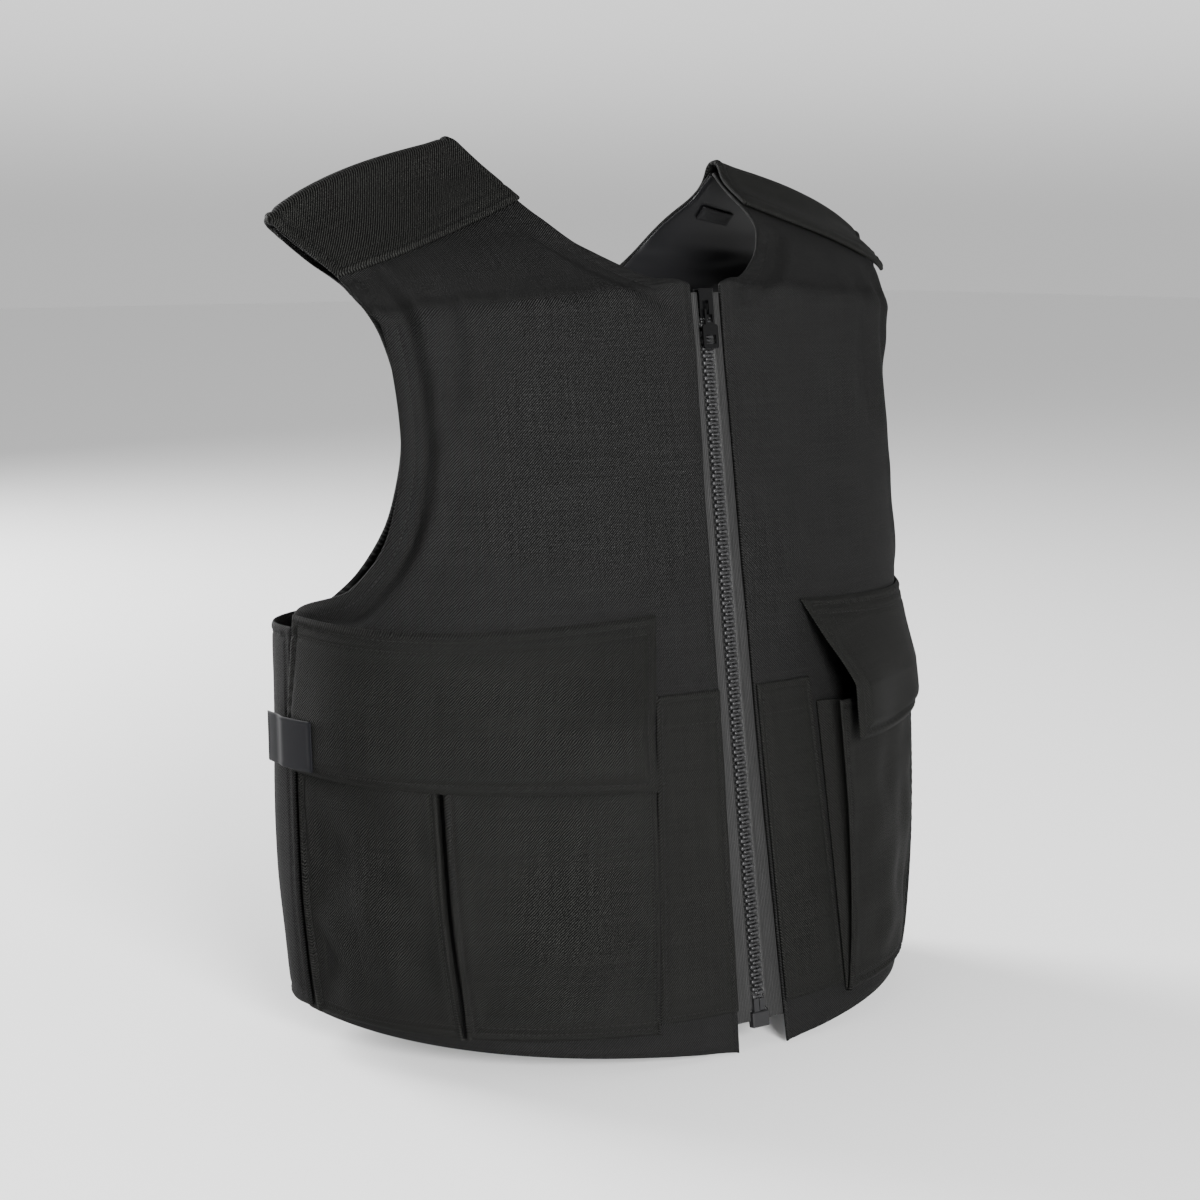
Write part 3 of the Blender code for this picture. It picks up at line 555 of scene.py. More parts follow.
# The front panels: a twill carrier sewn round a stab-resistant panel, so the middle stands up as a pad
# and the edges are thin, turned in and topstitched. The zip edge, hem, neckline and armhole are each sewn
# along.
PAD_WALL = 0.0100
EDGE_WALL = 0.0024
EDGE_DROP = 0.0040  # how far the sewn edge lies below the pad
PAD_START = 0.0095  # from the sewn edge to where the pad starts to rise
PAD_RAMP = 0.014
ZIP_MARGIN = 0.03
RIDGE_STOP = 0.976  # rise at which the panels end, under the straps
HEM_BOW = 0.7
FRONT_EDGES = dict(zip(("inner_across", "inner_height", "outer_angle", "outer_height"), np.array((
    (0.0200, 0.000, 90.0, 0.023),
    (0.0175, 0.090, 90.0, 0.098),
    (0.0150, 0.180, 90.0, 0.185),
    (0.0140, 0.262, 90.0, 0.268),
    (0.0135, 0.290, 72.8, 0.289),
    (0.0130, 0.330, 62.9, 0.322),
    (0.0125, 0.390, 58.8, 0.376),
    (0.0120, 0.435, 59.5, 0.424),
    (0.0120, 0.466, 60.5, 0.450),
    (0.0360, 0.474, 61.0, 0.458),
    (0.0620, 0.487, 61.5, 0.467),
    (0.0830, 0.504, 62.0, 0.476),
    (0.0940, 0.527, 64.5, 0.488),
    (0.1040, 0.546, 67.0, 0.500),
)).T))
FRONT_LAST_ROW = len(FRONT_EDGES["inner_across"]) - 1
NECK_ROW = 8  # the table's row where the zip edge turns into the neckline
SEAM_ROW = 3  # and where the side seam turns into the armhole
HEM_SEAM = 0.0245  # the hem's topstitching above the edge
EDGE_SEAM = 0.0085  # the armhole's and neckline's topstitching from the edge
ZIP_SEAM = 0.0030
BAND_FOOT = 0.0165  # from the armhole's and neckline's edge to the foot of the pad
PUCKER_PITCH = 0.0076  # from one pucker of a sewn edge to the next
WRINKLE_PLACE = (0.0275, 0.232)


def panel_places(edge, shares, rows, last_level):
    """Angle and height on a panel's grid: rows run up the table of edges, and between the two edges the
    angle and the level are mixed by the share across, with a bowed hem."""
    places = np.arange(len(edge["inner_across"]), dtype=float)
    at = np.asarray(rows, dtype=float)
    inner_across = smooth(places, edge["inner_across"], at)
    inner_height = smooth(places, edge["inner_height"], at)
    outer_angle = np.radians(np.minimum(smooth(places, edge["outer_angle"], at), 90.0))
    outer_height = smooth(places, edge["outer_height"], at)
    inner_level = np.minimum(level_at(inner_across, inner_height), last_level)
    outer_level = level_at(across_at(outer_angle, outer_height), outer_height)
    inner_level[-1] = last_level
    outer_level[-1] = last_level
    share = np.asarray(shares)[None, :]
    bow = mix(HEM_BOW, 1.0, ease(at / 2))[:, None]
    level = mix(inner_level[:, None], outer_level[:, None], share ** bow)
    inner_angle = angle_at(inner_across, inner_height)
    angle = mix(inner_angle[:, None], outer_angle[:, None], share)
    return angle, height_at(angle, level)


def dense(first, last, count, ends=0.55):
    """Places from first to last that crowd towards both ends: an even share mixed with a half cosine of
    it."""
    share = np.linspace(0, 1, count)
    return mix(first, last, mix(share, 0.5 - 0.5 * np.cos(np.pi * share), ends))


def cloth_uv(points):
    """Metres along the cloth: the length round the body from the middle of the front or back, and the
    height run."""
    along = lengths(points, 1)
    start = np.abs(points[:, :1, 0])
    up = lengths(points, 0)
    return np.stack([start + along, up[:, :1] + (points[..., 2] - points[:, :1, 2])], axis=-1)


CHEST_FOLDS = {
    "right": ((0.0370, 0.0065, -0.0026, 0.370, 0.478), (0.0490, 0.0080, 0.0018, 0.385, 0.482),
              (0.0640, 0.0105, -0.0010, 0.395, 0.482), (0.0200, 0.0050, -0.0030, 0.290, 0.346),
              (0.0330, 0.0070, 0.0020, 0.292, 0.352), (0.0480, 0.0100, -0.0012, 0.296, 0.350)),
    "left": ((0.0300, 0.0060, -0.0026, 0.335, 0.472), (0.0430, 0.0078, 0.0022, 0.350, 0.480),
             (0.0590, 0.0095, -0.0018, 0.365, 0.484), (0.0770, 0.0130, 0.0012, 0.370, 0.486),
             (0.1000, 0.0160, -0.0009, 0.360, 0.470)),
}


def chest_folds(to_armhole, height, side):
    """Relief of the worn front, in metres: soft folds that follow the armhole. Each row of the table is a
    hill or valley by its distance from the armhole, width and rise, between a lowest and a highest
    height."""
    relief = 0.0
    for place, width, rise, lowest, highest in CHEST_FOLDS[side]:
        middle = place + 0.0030 * np.sin(height * 38 + place * 90) + 0.10 * (height - 0.42)
        along = ease((height - lowest) / 0.03) * ease((highest - height) / 0.03)
        relief = relief + rise * bump(to_armhole, middle, width) * along
    return relief


def slack(across, height, seed):
    """A gentle unevenness of a padded cloth, from a few crossing waves."""
    a = np.sin(across * 41 + height * 17 + seed) * np.sin(height * 29 - across * 13 + 2.1 * seed)
    b = np.sin(across * 83 - height * 47 + 1.7 * seed) * np.sin(height * 61 + across * 37 + 0.6 * seed)
    return 0.0007 * a + 0.00035 * b


def stitched(distance, place, depth=0.0006, width=0.0022):
    """The valley that a row of stitches draws into padded cloth."""
    return -depth * bump(distance, place, width)


def lip(inward, depth, reach):
    """How the cloth falls away to its edge, by a depth over the last stretch."""
    return -depth * (1 - ease(inward / reach))


def hemmed(inward, along, seam):
    """The relief of a turned and topstitched edge: the turned cloth swells between the edge and the
    stitches, and the stitches draw it into a valley and pucker it."""
    swell = 0.0005 * bump(inward, 0.45 * seam, 0.32 * seam)
    wave = np.sin(along * 2 * np.pi / PUCKER_PITCH + 2.0 * np.sin(along * 90))
    pucker = 0.00026 * wave * bump(inward, 0.8 * seam, 0.5 * seam)
    return swell + pucker + stitched(inward, seam, 0.0007, 0.0016)


def drawn_wrinkle(across, height):
    """The short slanting crease above the right slip pocket, a valley with a hill along its upper
    side."""
    across, height = across - WRINKLE_PLACE[0], height - WRINKLE_PLACE[1]
    off = 0.63 * across + 0.77 * height
    along = -0.77 * across + 0.63 * height
    hill = 0.0012 * bump(off, 0.0052, 0.003) * bump(along, 0.0, 0.012)
    return hill - 0.0020 * bump(off, 0.0, 0.0028) * bump(along, 0.0, 0.010)


for side in ("right", "left"):
    shares, rows = dense(0, 1, 92), dense(0, FRONT_LAST_ROW, 210, 0.3)
    angle, height = panel_places(FRONT_EDGES, shares, rows, RIDGE_STOP)
    base = raised(FRONT, angle, height, 0.0, side)
    across = np.abs(base[..., 0])
    neck_first = np.searchsorted(rows, NECK_ROW)
    seam_last = np.searchsorted(rows, SEAM_ROW)
    hem, zip_edge = base[0], base[:neck_first + 1, 0]
    neckline, armhole, side_seam = base[neck_first:, 0], base[seam_last:, -1], base[:seam_last + 1, -1]
    to_neck, to_armhole = distance_to(base, neckline), distance_to(base, armhole)
    to_hem, to_zip = distance_to(base, hem), distance_to(base, zip_edge)
    sewn = np.minimum(to_neck, to_armhole)
    share_up = rows[:, None] / FRONT_LAST_ROW
    covered = ease((share_up - 0.80) / 0.06)
    pad = ease((sewn - PAD_START) / PAD_RAMP)
    beside_zip = ease((across - 0.0205) / 0.0160)
    drop = -EDGE_DROP * (1 - pad) * (1 - covered) * beside_zip
    up = lengths(base, 0)
    pull = np.sin(up * 2 * np.pi / 0.052 + 2.0 * np.sin(up * 31))
    band = stitched(sewn, EDGE_SEAM) + stitched(sewn, BAND_FOOT, 0.0016, 0.0045)
    band = band * ease(sewn / 0.006) * beside_zip
    band = band - 0.0026 * (0.5 + 0.5 * pull) * bump(to_armhole, 0.0175, 0.0070)
    ripple = 0.00025 * np.sin(up * 2 * np.pi / 0.0092) * bump(sewn, 0.0055, 0.0035)
    turned = stitched(to_hem, HEM_SEAM, 0.0005) + stitched(to_zip, ZIP_SEAM, 0.0004, 0.0018)
    loose = slack(across, height, 1.0 if side == "right" else 4.0) * ease((height - 0.275) / 0.05)
    relief = (chest_folds(to_armhole, height, side) + loose) * pad
    relief = relief + (drawn_wrinkle(across, height) if side == "right" else 0.0)
    relief = relief + 0.0016 * bump(to_armhole, 0.0255, 0.0065) * pad
    to_edge = np.minimum(np.minimum(sewn, to_hem), to_zip)
    distance = drop + (band + ripple) * (1 - covered) + turned * (1 - covered) + relief * (1 - covered)
    distance = distance + lip(to_edge, 0.0006, 0.0016)
    inner = ease((shares - ZIP_MARGIN) / 0.055)[None, :]
    outer = mix(1.0, ease((1 - shares) / 0.09)[None, :], ease((share_up - 0.25) / 0.05))
    wall = mix(EDGE_WALL, PAD_WALL, inner * outer * (1 - covered))
    face = raised(FRONT, angle, height, distance, side)
    back = raised(FRONT, angle, height, np.minimum(drop, 0.0) - wall, side)
    piece = shell(f"carrier_front_{side}", face, back, CARRIER, cloth_uv(base), rim=0.35)
    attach(piece, "vest")
    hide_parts(f"front_panel_{side}")
    normal = outward_grid(FRONT, angle, height, side)
    top = int((covered[:, 0] < 0.5).sum())
    seams = panel_seams(face, normal, (
        (to_hem, slice(None), "first row", HEM_SEAM, 0.004, 0.002),
        (to_zip, slice(neck_first), "first column", ZIP_SEAM, 0.002, 0.002),
        (to_neck, slice(neck_first, top), "first column", EDGE_SEAM, 0.0, 0.0),
        (to_armhole, slice(seam_last, top), "last column", EDGE_SEAM, 0.003, 0.0)))
    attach(sew(f"front_stitching_{side}", seams), "vest")


# The back panel: a padded carrier like the front ones, in one piece, cut lower at the neck and deep at
# the armholes.
BACK_EDGES = dict(zip(("inner_across", "inner_height", "outer_angle", "outer_height"), np.array((
    (0.0000, 0.020, 76.0, 0.028),
    (0.0000, 0.095, 76.0, 0.100),
    (0.0000, 0.175, 76.0, 0.180),
    (0.0000, 0.235, 76.0, 0.245),
    (0.0000, 0.258, 70.0, 0.251),
    (0.0000, 0.285, 50.0, 0.261),
    (0.0000, 0.312, 35.0, 0.283),
    (0.0000, 0.348, 28.5, 0.320),
    (0.0000, 0.385, 27.0, 0.360),
    (0.0000, 0.420, 28.5, 0.403),
    (0.0000, 0.445, 33.0, 0.441),
    (0.0000, 0.457, 37.5, 0.460),
    (0.0450, 0.466, 42.0, 0.470),
    (0.0720, 0.482, 47.5, 0.478),
    (0.0880, 0.500, 54.0, 0.486),
    (0.1030, 0.527, 61.5, 0.494),
    (0.1060, 0.546, 67.0, 0.500),
)).T))
BACK_NECK_ROW = 11
BACK_LAST_ROW = len(BACK_EDGES["inner_across"]) - 1


def two_halves(make, joined):
    """The points of a right and a left grid after each other, and their quads: up to the row where the
    neckline starts, both use the left grid's middle column."""
    right, left = make("right"), make("left")
    shape = left[0].shape[:2]
    count = shape[0] * shape[1]
    left_number = np.arange(count).reshape(shape)
    right_number = left_number + count
    right_number[:joined, 0] = left_number[:joined, 0]
    quads = np.concatenate([grid_quads(left_number), grid_quads(right_number)[:, ::-1]])
    flat = [np.concatenate([a.reshape(count, -1), b.reshape(count, -1)]) for a, b in zip(left, right)]
    return flat, quads


back_rows = np.sort(np.append(dense(0, BACK_LAST_ROW, 168, 0.3), BACK_NECK_ROW))
back_joined = int(np.searchsorted(back_rows, BACK_NECK_ROW)) + 1
back_seams = []


def under_strap(rows):
    """1 where the back is covered by the straps and has no pad, 0 below, and smooth between."""
    return ease((rows[:, None] / BACK_LAST_ROW - 0.70) / 0.16)


def padded_back(side):
    """Face, back and UV grids of one half. The distance from the padded face is the sewn edge's drop, the
    stitched valleys and a gentle slackness over the pad."""
    angle, height = panel_places(BACK_EDGES, dense(0, 1, 64, 0.3), back_rows, RIDGE_STOP)
    base = raised(BACK, angle, height, 0.0, side)
    share_up = back_rows[:, None] / BACK_LAST_ROW
    strap = under_strap(back_rows)
    neckline, armhole, hem = base[back_joined - 1:, 0], base[:, -1], base[0]
    to_neck, to_armhole, to_hem = (distance_to(base, line) for line in (neckline, armhole, hem))
    sewn = np.minimum(to_neck, to_armhole)
    to_edge = np.minimum(sewn, to_hem)
    pad = ease((to_edge - PAD_START) / PAD_RAMP)
    drop = -(1 - pad) * 0.0018 * (1 - strap)
    seam = (stitched(sewn, EDGE_SEAM) + stitched(to_hem, HEM_SEAM, 0.0005)) * (1 - strap)
    relief = 1.3 * slack(base[..., 0], height, 7.0) * pad * (1 - strap)
    thin = mix(PAD_WALL, EDGE_WALL, strap)
    middle = 1 - ease((share_up - 0.66) / 0.05)
    thick = ease(to_armhole / 0.020) * mix(ease(to_neck / 0.020), 1.0, middle) * ease(to_hem / 0.016)
    outside = mix(EDGE_WALL - thin, 0.0, thick)
    distance = outside * 0.35 + drop + seam + lip(to_edge, 0.0005, 0.0016) + relief
    face = raised(BACK, angle, height, distance, side)
    back = raised(BACK, angle, height, -thin, side)
    normal = outward_grid(BACK, angle, height, side)
    top = int((strap[:, 0] < 0.5).sum())
    back_seams.extend(panel_seams(face, normal, (
        (to_hem, slice(None), "first row", HEM_SEAM, 0.0, 0.004),
        (to_armhole, slice(top), "last column", EDGE_SEAM, 0.004, 0.0),
        (to_neck, slice(back_joined, top), "first column", EDGE_SEAM, 0.0, 0.0))))
    return face, back, cloth_uv(base)


(back_face, back_inside, back_uv), back_quads = two_halves(padded_back, back_joined)
piece = closed_sheet("carrier_back", back_face, back_inside, back_quads, CARRIER, back_uv, rim=0.35)
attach(piece, "vest")
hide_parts("back_panel")
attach(sew("back_stitching", back_seams), "vest")


# The back's lining: a smooth black satin sewn inside the back panel, a little loose, so that it lies in
# soft level folds below the neck.
LINING_GAP = 0.0011
LINING_WALL = 0.0010


def satin(name, colour, roughness, gloss=0.40):
    """A smooth closely woven cloth with a soft gloss that changes a little from place to place."""
    made, shader, wave = new_material(name, colour, roughness)
    worn = noise(wave, wave.node("ShaderNodeTexCoord", out=3), 14.0, 3.0)
    (worn * 0.16 + (roughness - 0.08)).feed(shader, "Roughness")
    threads = noise(wave, stretched(wave, wave.node("ShaderNodeTexCoord", out=2), 500.0, 2600.0), 1.0)
    emboss(wave, shader, threads, 0.0001, 0.25)
    shader.inputs["Specular IOR Level"].default_value = gloss
    return made


SATIN = satin("satin_lining", (0.0035, 0.0035, 0.0040), 0.40, 0.22)
lining_rows = back_rows[(back_rows > 0.72) & (back_rows < BACK_LAST_ROW - 0.75)]
lining_joined = int(np.searchsorted(lining_rows, BACK_NECK_ROW)) + 1


def loose_lining(side):
    """Face, back and UV grids of one half: level folds whose middle lines rise and fall across the
    back."""
    angle, height = panel_places(BACK_EDGES, np.linspace(0, 0.92, 46), lining_rows, RIDGE_STOP)
    base = raised(BACK, angle, height, 0.0, side)
    strap = under_strap(lining_rows)
    depth = mix(PAD_WALL, EDGE_WALL, strap) + LINING_GAP
    edge = np.minimum(distance_to(base, base[:, -1]), distance_to(base, base[-1]))
    wave = np.sin((height + 0.006 * np.sin(base[..., 0] * 25)) * 2 * np.pi / 0.034 + 3 * base[..., 0])
    small = np.sin(height * 2 * np.pi / 0.013 + 9 * base[..., 0])
    fold = 0.0016 * (1 + wave) + 0.0004 * (1 + small)
    fold = fold * ease((edge - 0.004) / 0.02) * ease((height - 0.30) / 0.08)
    fold = fold * (1 - 0.92 * ease((height - 0.466) / 0.022))
    face = raised(BACK, angle, height, -depth - fold - LINING_WALL, side)
    back = raised(BACK, angle, height, -depth - fold, side)
    return face, back, cloth_uv(base)


(lining_face, lining_back, lining_uv), lining_quads = two_halves(loose_lining, lining_joined)
piece = closed_sheet("satin_back_lining", lining_face, lining_back, lining_quads, SATIN, lining_uv)
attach(piece, "vest")
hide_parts("back_lining")


# The side panels: one layer of the carrier cloth, sewn to the front panel's side seam and closed on the
# back panel with hook-and-loop tape, so that the fit can be set.
CLOTH_WALL = 0.0016
SEAM_GAP = 0.0007
SIDE_TURNS = (88.4, 128.0)
SIDE_HEIGHTS = (0.026, 0.262)
SIDE_SEAM = 0.006


def around(turn):
    """Half and angle for a turn round the body, from 0 at the middle of the front to 180 at the middle
    back."""
    turn = np.asarray(turn, dtype=float)
    return np.where(turn < 90, -1.0, 1.0), np.radians(np.where(turn < 90, turn, 180 - turn))


def frame_seams(face, normal, inset, edges=("first row", "last row", "first column", "last column")):
    """Stitch lines at an even distance inside the edges of a patch, meeting at the corners."""
    return [edge_line(face, normal, edge, inset, inset, inset) for edge in edges]


def edge_run(face):
    """Each grid point's length along the grid's lines to the nearest of the four edges."""
    along, up = lengths(face, 1), lengths(face, 0)
    return np.minimum(np.minimum(along, along[:, -1:] - along), np.minimum(up, up[-1:] - up))


for side in ("right", "left"):
    half, angle = around(dense(*SIDE_TURNS, 48, 0.4)[None, :])
    height = dense(*SIDE_HEIGHTS, 96, 0.4)[:, None]
    half, angle, height = np.broadcast_arrays(half, angle, height)
    base = raised(half, angle, height, SEAM_GAP + CLOTH_WALL, side)
    inward = edge_run(base)
    along = lengths(base, 1)
    sag = 0.0011 * np.sin(along * 75 + height * 16) * np.sin(height * 24 + 1.1) * ease(inward / 0.02)
    relief = hemmed(inward, along + lengths(base, 0), SIDE_SEAM) + lip(inward, 0.0003, 0.001)
    relief = relief + np.maximum(sag, -0.0002)
    face = raised(half, angle, height, SEAM_GAP + CLOTH_WALL + relief, side)
    back = raised(half, angle, height, SEAM_GAP + np.minimum(relief, 0.0) * 0.2, side)
    piece = shell(f"cloth_side_{side}", face, back, CARRIER, rim=0.8)
    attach(piece, "vest")
    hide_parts(f"side_panel_{side}")
    normal = face_normals(face, face * (1, 1, 0))
    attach(sew(f"side_stitching_{side}", frame_seams(face, normal, SIDE_SEAM)), "vest")


# The shoulder straps: two layers of the same cloth as the pockets, sewn to the back panel, laid over the
# shoulder and held on the front panel, so that they lie flat and end in a free stitched edge.
STRAP_WALL = 0.0034
STRAP = dict(zip(("half", "inner_rise", "outer_rise", "inner_across", "outer_angle"), np.array((
    (-1, 0.750, 0.620, 0.0905, 62.0),
    (-1, 0.835, 0.740, 0.0950, 63.6),
    (-1, 0.915, 0.870, 0.1000, 65.3),
    (-1, 1.000, 1.000, 0.1060, 67.0),
    (+1, 0.915, 0.870, 0.1080, 62.5),
    (+1, 0.835, 0.740, 0.1075, 54.5),
    (+1, 0.750, 0.640, 0.1060, 47.5),
)).T))
STRAP_SEAM = 0.0050
STRAP_OUTLINE = 0.0090  # from the front edge's seam to the second row of stitches
RIDGE_LIFT = 0.0034  # how far the stiff strap stands off the ridge
STRAP_EDGE_FILL = 0.80  # the share of the width from which the turned-in edge fills the gap under the strap
STRAP_BOW = 0.022  # how far the front end bows, as a share of the rise
RIDGE_ROUNDING = 0.0045  # how far the cloth bridges the ridge on each side


def rounded_over(points, reach):
    """The grid's columns smoothed along their length, by a bell curve of that reach."""
    run = lengths(points, 0).mean(axis=1)
    weight = np.exp(-((run[:, None] - run[None, :]) / reach) ** 2)
    weight /= weight.sum(axis=1, keepdims=True)
    end = ease(np.minimum(run, run[-1] - run) / (2.5 * reach))[:, None, None]
    return mix(points, np.einsum("ij,jkl->ikl", weight, points), end)


for side in ("right", "left"):
    at = dense(0, len(STRAP["half"]) - 1, 110, 0.2)[:, None]
    share = dense(0, 1, 90, 0.35)[None, :]
    rows = np.arange(len(STRAP["half"]), dtype=float)
    inner_run = smooth(rows, STRAP["half"] * (1 - STRAP["inner_rise"]), at)
    outer_run = smooth(rows, STRAP["half"] * (1 - STRAP["outer_rise"]), at)
    run = mix(inner_run, outer_run, share) - STRAP_BOW * np.sin(np.pi * share) * ease(1 - at / 3)
    level = 1 - np.abs(run)
    inner_across = smooth(rows, STRAP["inner_across"], at)
    inner_height = ARCH_BASE + level[:, :1] * (ridge(inner_across) - ARCH_BASE)
    outer_angle = np.radians(smooth(rows, STRAP["outer_angle"], at))
    angle = mix(angle_at(inner_across, inner_height), outer_angle, share)
    ground = torso(np.where(run < 0, FRONT, BACK), angle, height_at(angle, level), side)
    ground = rounded_over(placed(ground, side), RIDGE_ROUNDING)
    normal = face_normals(ground, np.broadcast_to((0.0, 0.0, 1.0), ground.shape))
    inward, along, up = edge_run(ground), lengths(ground, 1), lengths(ground, 0)
    relief = hemmed(inward, along + up, STRAP_SEAM) + lip(inward, 0.0007, 0.0016)
    relief = relief + stitched(up, STRAP_SEAM + STRAP_OUTLINE, 0.0005, 0.0018)
    relief = relief + 0.0006 * np.sin(share * 7 + at * 1.7) * ease(inward / 0.02)
    lift = RIDGE_LIFT * bump(run, 0.0, 0.07)
    face = ground + normal * (SEAM_GAP + STRAP_WALL + relief + lift)[..., None]
    under = lift * (1 - ease((share - STRAP_EDGE_FILL) / (1 - STRAP_EDGE_FILL)))
    back = ground + normal * (SEAM_GAP + under)[..., None]
    uv = np.stack(np.broadcast_arrays(along, up.mean(axis=1)[:, None]), axis=-1)
    piece = shell(f"cloth_strap_{side}", face, back, POCKETING, uv, rim=0.7)
    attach(piece, "vest")
    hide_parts(f"shoulder_strap_{side}")
    seams = frame_seams(face, normal, STRAP_SEAM)
    seams.append(edge_line(face, normal, "first row", STRAP_SEAM + STRAP_OUTLINE, 0.055, 0.010))
    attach(sew(f"strap_stitching_{side}", seams), "vest")


# The bellows pockets: on each side two compartments of pocket cloth, each a front wall on a pleated
# gusset, sewn down at the bottom and side seam. The gusset nearest the zip is the deepest, so the pockets
# stand off there.
POCKET = dict(zip(("height", "depth"), np.array((
    (0.0195, 0.0016), (0.055, 0.0075), (0.100, 0.0125), (0.150, 0.0160), (0.205, 0.0175),
)).T))
POCKET_INNER = (0.0765, 0.0670)
POCKET_LEAN = {"right": 0.0080, "left": 0.0010}
POCKET_SPLIT = math.radians(52.8)
POCKET_SPLIT_GAP = math.radians(1.1)
POCKET_OUTER = math.radians(86.0)
SPLIT_DEPTH = 0.48
SEAM_DEPTH = 0.16
POCKET_RISE = 0.0060
POCKET_SEAM = 0.0045
SECOND_ROW = 0.004  # from the bottom's first row of stitches to its second
PLEAT_DEPTH = 0.0032  # how far the gusset's fold goes in
PLEAT_RADIUS = 0.2  # from the body's middle, to make an angle of that depth
POCKET_SLACK = {"front": 0.0018, "side": 0.0030}


def pocket_depth(height):
    return smooth(POCKET["height"], POCKET["depth"], height)


def depth_share(angle):
    """How the bellows' depth falls from the inner gusset to the side seam."""
    inner = angle_at(np.array(POCKET_INNER[1]), POCKET["height"][-1])
    front = mix(1.0, SPLIT_DEPTH, np.clip((angle - inner) / (POCKET_SPLIT - inner), 0, 1))
    side = mix(SPLIT_DEPTH, SEAM_DEPTH, ease((angle - POCKET_SPLIT) / (POCKET_OUTER - POCKET_SPLIT)))
    return np.where(angle < POCKET_SPLIT, front, side)


def bellows_pocket(part, side):
    """The pocket's columns run from the gusset's foot out over its pleat, across the front wall and down
    the far gusset. The wall stands off by the depth at its height times the share at its angle."""
    bottom, top = POCKET["height"][[0, -1]]
    height = dense(bottom, top, 96, 0.5)[:, None]
    inner_across = np.interp(height, (bottom, top), POCKET_INNER)
    up = (height - bottom) / (top - bottom)
    if part == "front":
        start, end = angle_at(inner_across, height), POCKET_SPLIT - POCKET_SPLIT_GAP / 2
        lean = angle_at(inner_across + POCKET_LEAN[side] * up, height) - start
    else:
        start, end, lean = POCKET_SPLIT + POCKET_SPLIT_GAP / 2, POCKET_OUTER, np.zeros_like(height)
    share = dense(0, 1, 66, 0.6)[None, :]
    wall = mix(start + lean, end, share)
    rise = POCKET_RISE * mix(start, end, share) / POCKET_OUTER * (1 - ease((height - bottom) / 0.1))
    stand = SEAM_GAP + CLOTH_WALL + pocket_depth(height) * depth_share(wall)
    ground = raised(FRONT, wall, height + rise, stand, side)
    inward = edge_run(ground)
    seed = {"front": 0.0, "side": 2.4}[part] + {"right": 0.0, "left": 1.3}[side]
    across = lengths(ground, 1)
    slant = np.sin((across * 0.8 + height) * 62 + seed) * np.sin(height * 33 - across * 21 + seed)
    fine = np.sin((across * 1.3 - height) * 95 + 2 * seed) * np.sin(height * 58 + across * 40)
    hang = bump(across, 0.35 * across[:, -1:], 0.018) * bump(height, 0.075, 0.045)
    relief = POCKET_SLACK[part] * (slant + 0.45 * fine) + 0.0026 * hang - 0.0016
    relief = relief * ease(inward / 0.016) * ease(height / 0.05)
    relief = relief + hemmed(inward, across + height, POCKET_SEAM) + lip(inward, 0.0006, 0.0018)
    face = raised(FRONT, wall, height + rise, stand + relief, side)
    foot = SEAM_GAP + CLOTH_WALL * 0.6
    gusset = np.linspace(0, 1, 10)[None, :]
    fold = PLEAT_DEPTH / PLEAT_RADIUS * np.sin(np.pi * gusset[:, :-1])
    fold = fold * np.minimum(stand[:, :1] / 0.012, 1.0)
    near = raised(FRONT, mix(start, start + lean, gusset[:, :-1]) + fold, height + rise[:, :1],
                  mix(foot, stand[:, :1], gusset[:, :-1]), side)
    far = raised(FRONT, (end - fold * 0.5)[:, ::-1], height + rise[:, -1:],
                 mix(stand[:, -1:], foot, gusset[:, 1:]), side)
    points = np.concatenate([near, face, far], axis=1)
    first = near.shape[1]
    normal = face_normals(points, raised(FRONT, wall[:, 30:31], height, 1.0, side) - points[:, 30:31])
    return points, normal, slice(first, first + face.shape[1])


for side in ("right", "left"):
    for part in ("front", "side"):
        face, normal, wall = bellows_pocket(part, side)
        piece = shell(f"bellows_{part}_{side}", face, face - normal * CLOTH_WALL, POCKETING, rim=0.8)
        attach(piece, "vest")
        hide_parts(f"pocket_{part}_{side}")
        seams = frame_seams(face[:, wall], normal[:, wall], POCKET_SEAM)
        seams.append(edge_line(face[:, wall], normal[:, wall], "first row", POCKET_SEAM + SECOND_ROW,
                               0.002, 0.002))
        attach(sew(f"bellows_stitching_{part}_{side}", seams), "vest")


# The pocket flaps: two layers of pocket cloth, sewn on above the pockets with two rows and a tacked box
# at the inner corner, and lying over the pockets. The left one's inner corner is lifted and drawn aside.
FLAPS = dict(zip(("side", "inner_top", "inner_bottom", "inner_height", "outer_height", "lift"), (
    ("right", "left"), (0.0585, 0.0585), (0.0775, 0.0730), (0.1680, 0.1800), (0.1760, 0.1850),
    (0.0225, 0.0260),
)))
FLAP_TOP = 0.270
FLAP_OUTER = math.radians(88.0)
FLAP_DIP = 0.005
FLAP_RAMP = 0.62
FLAP_SEAM = 0.0055
FLAP_BAND = 0.0120  # from the sewn top edge down to the second row of stitches
TACK_WIDTH = 0.0130

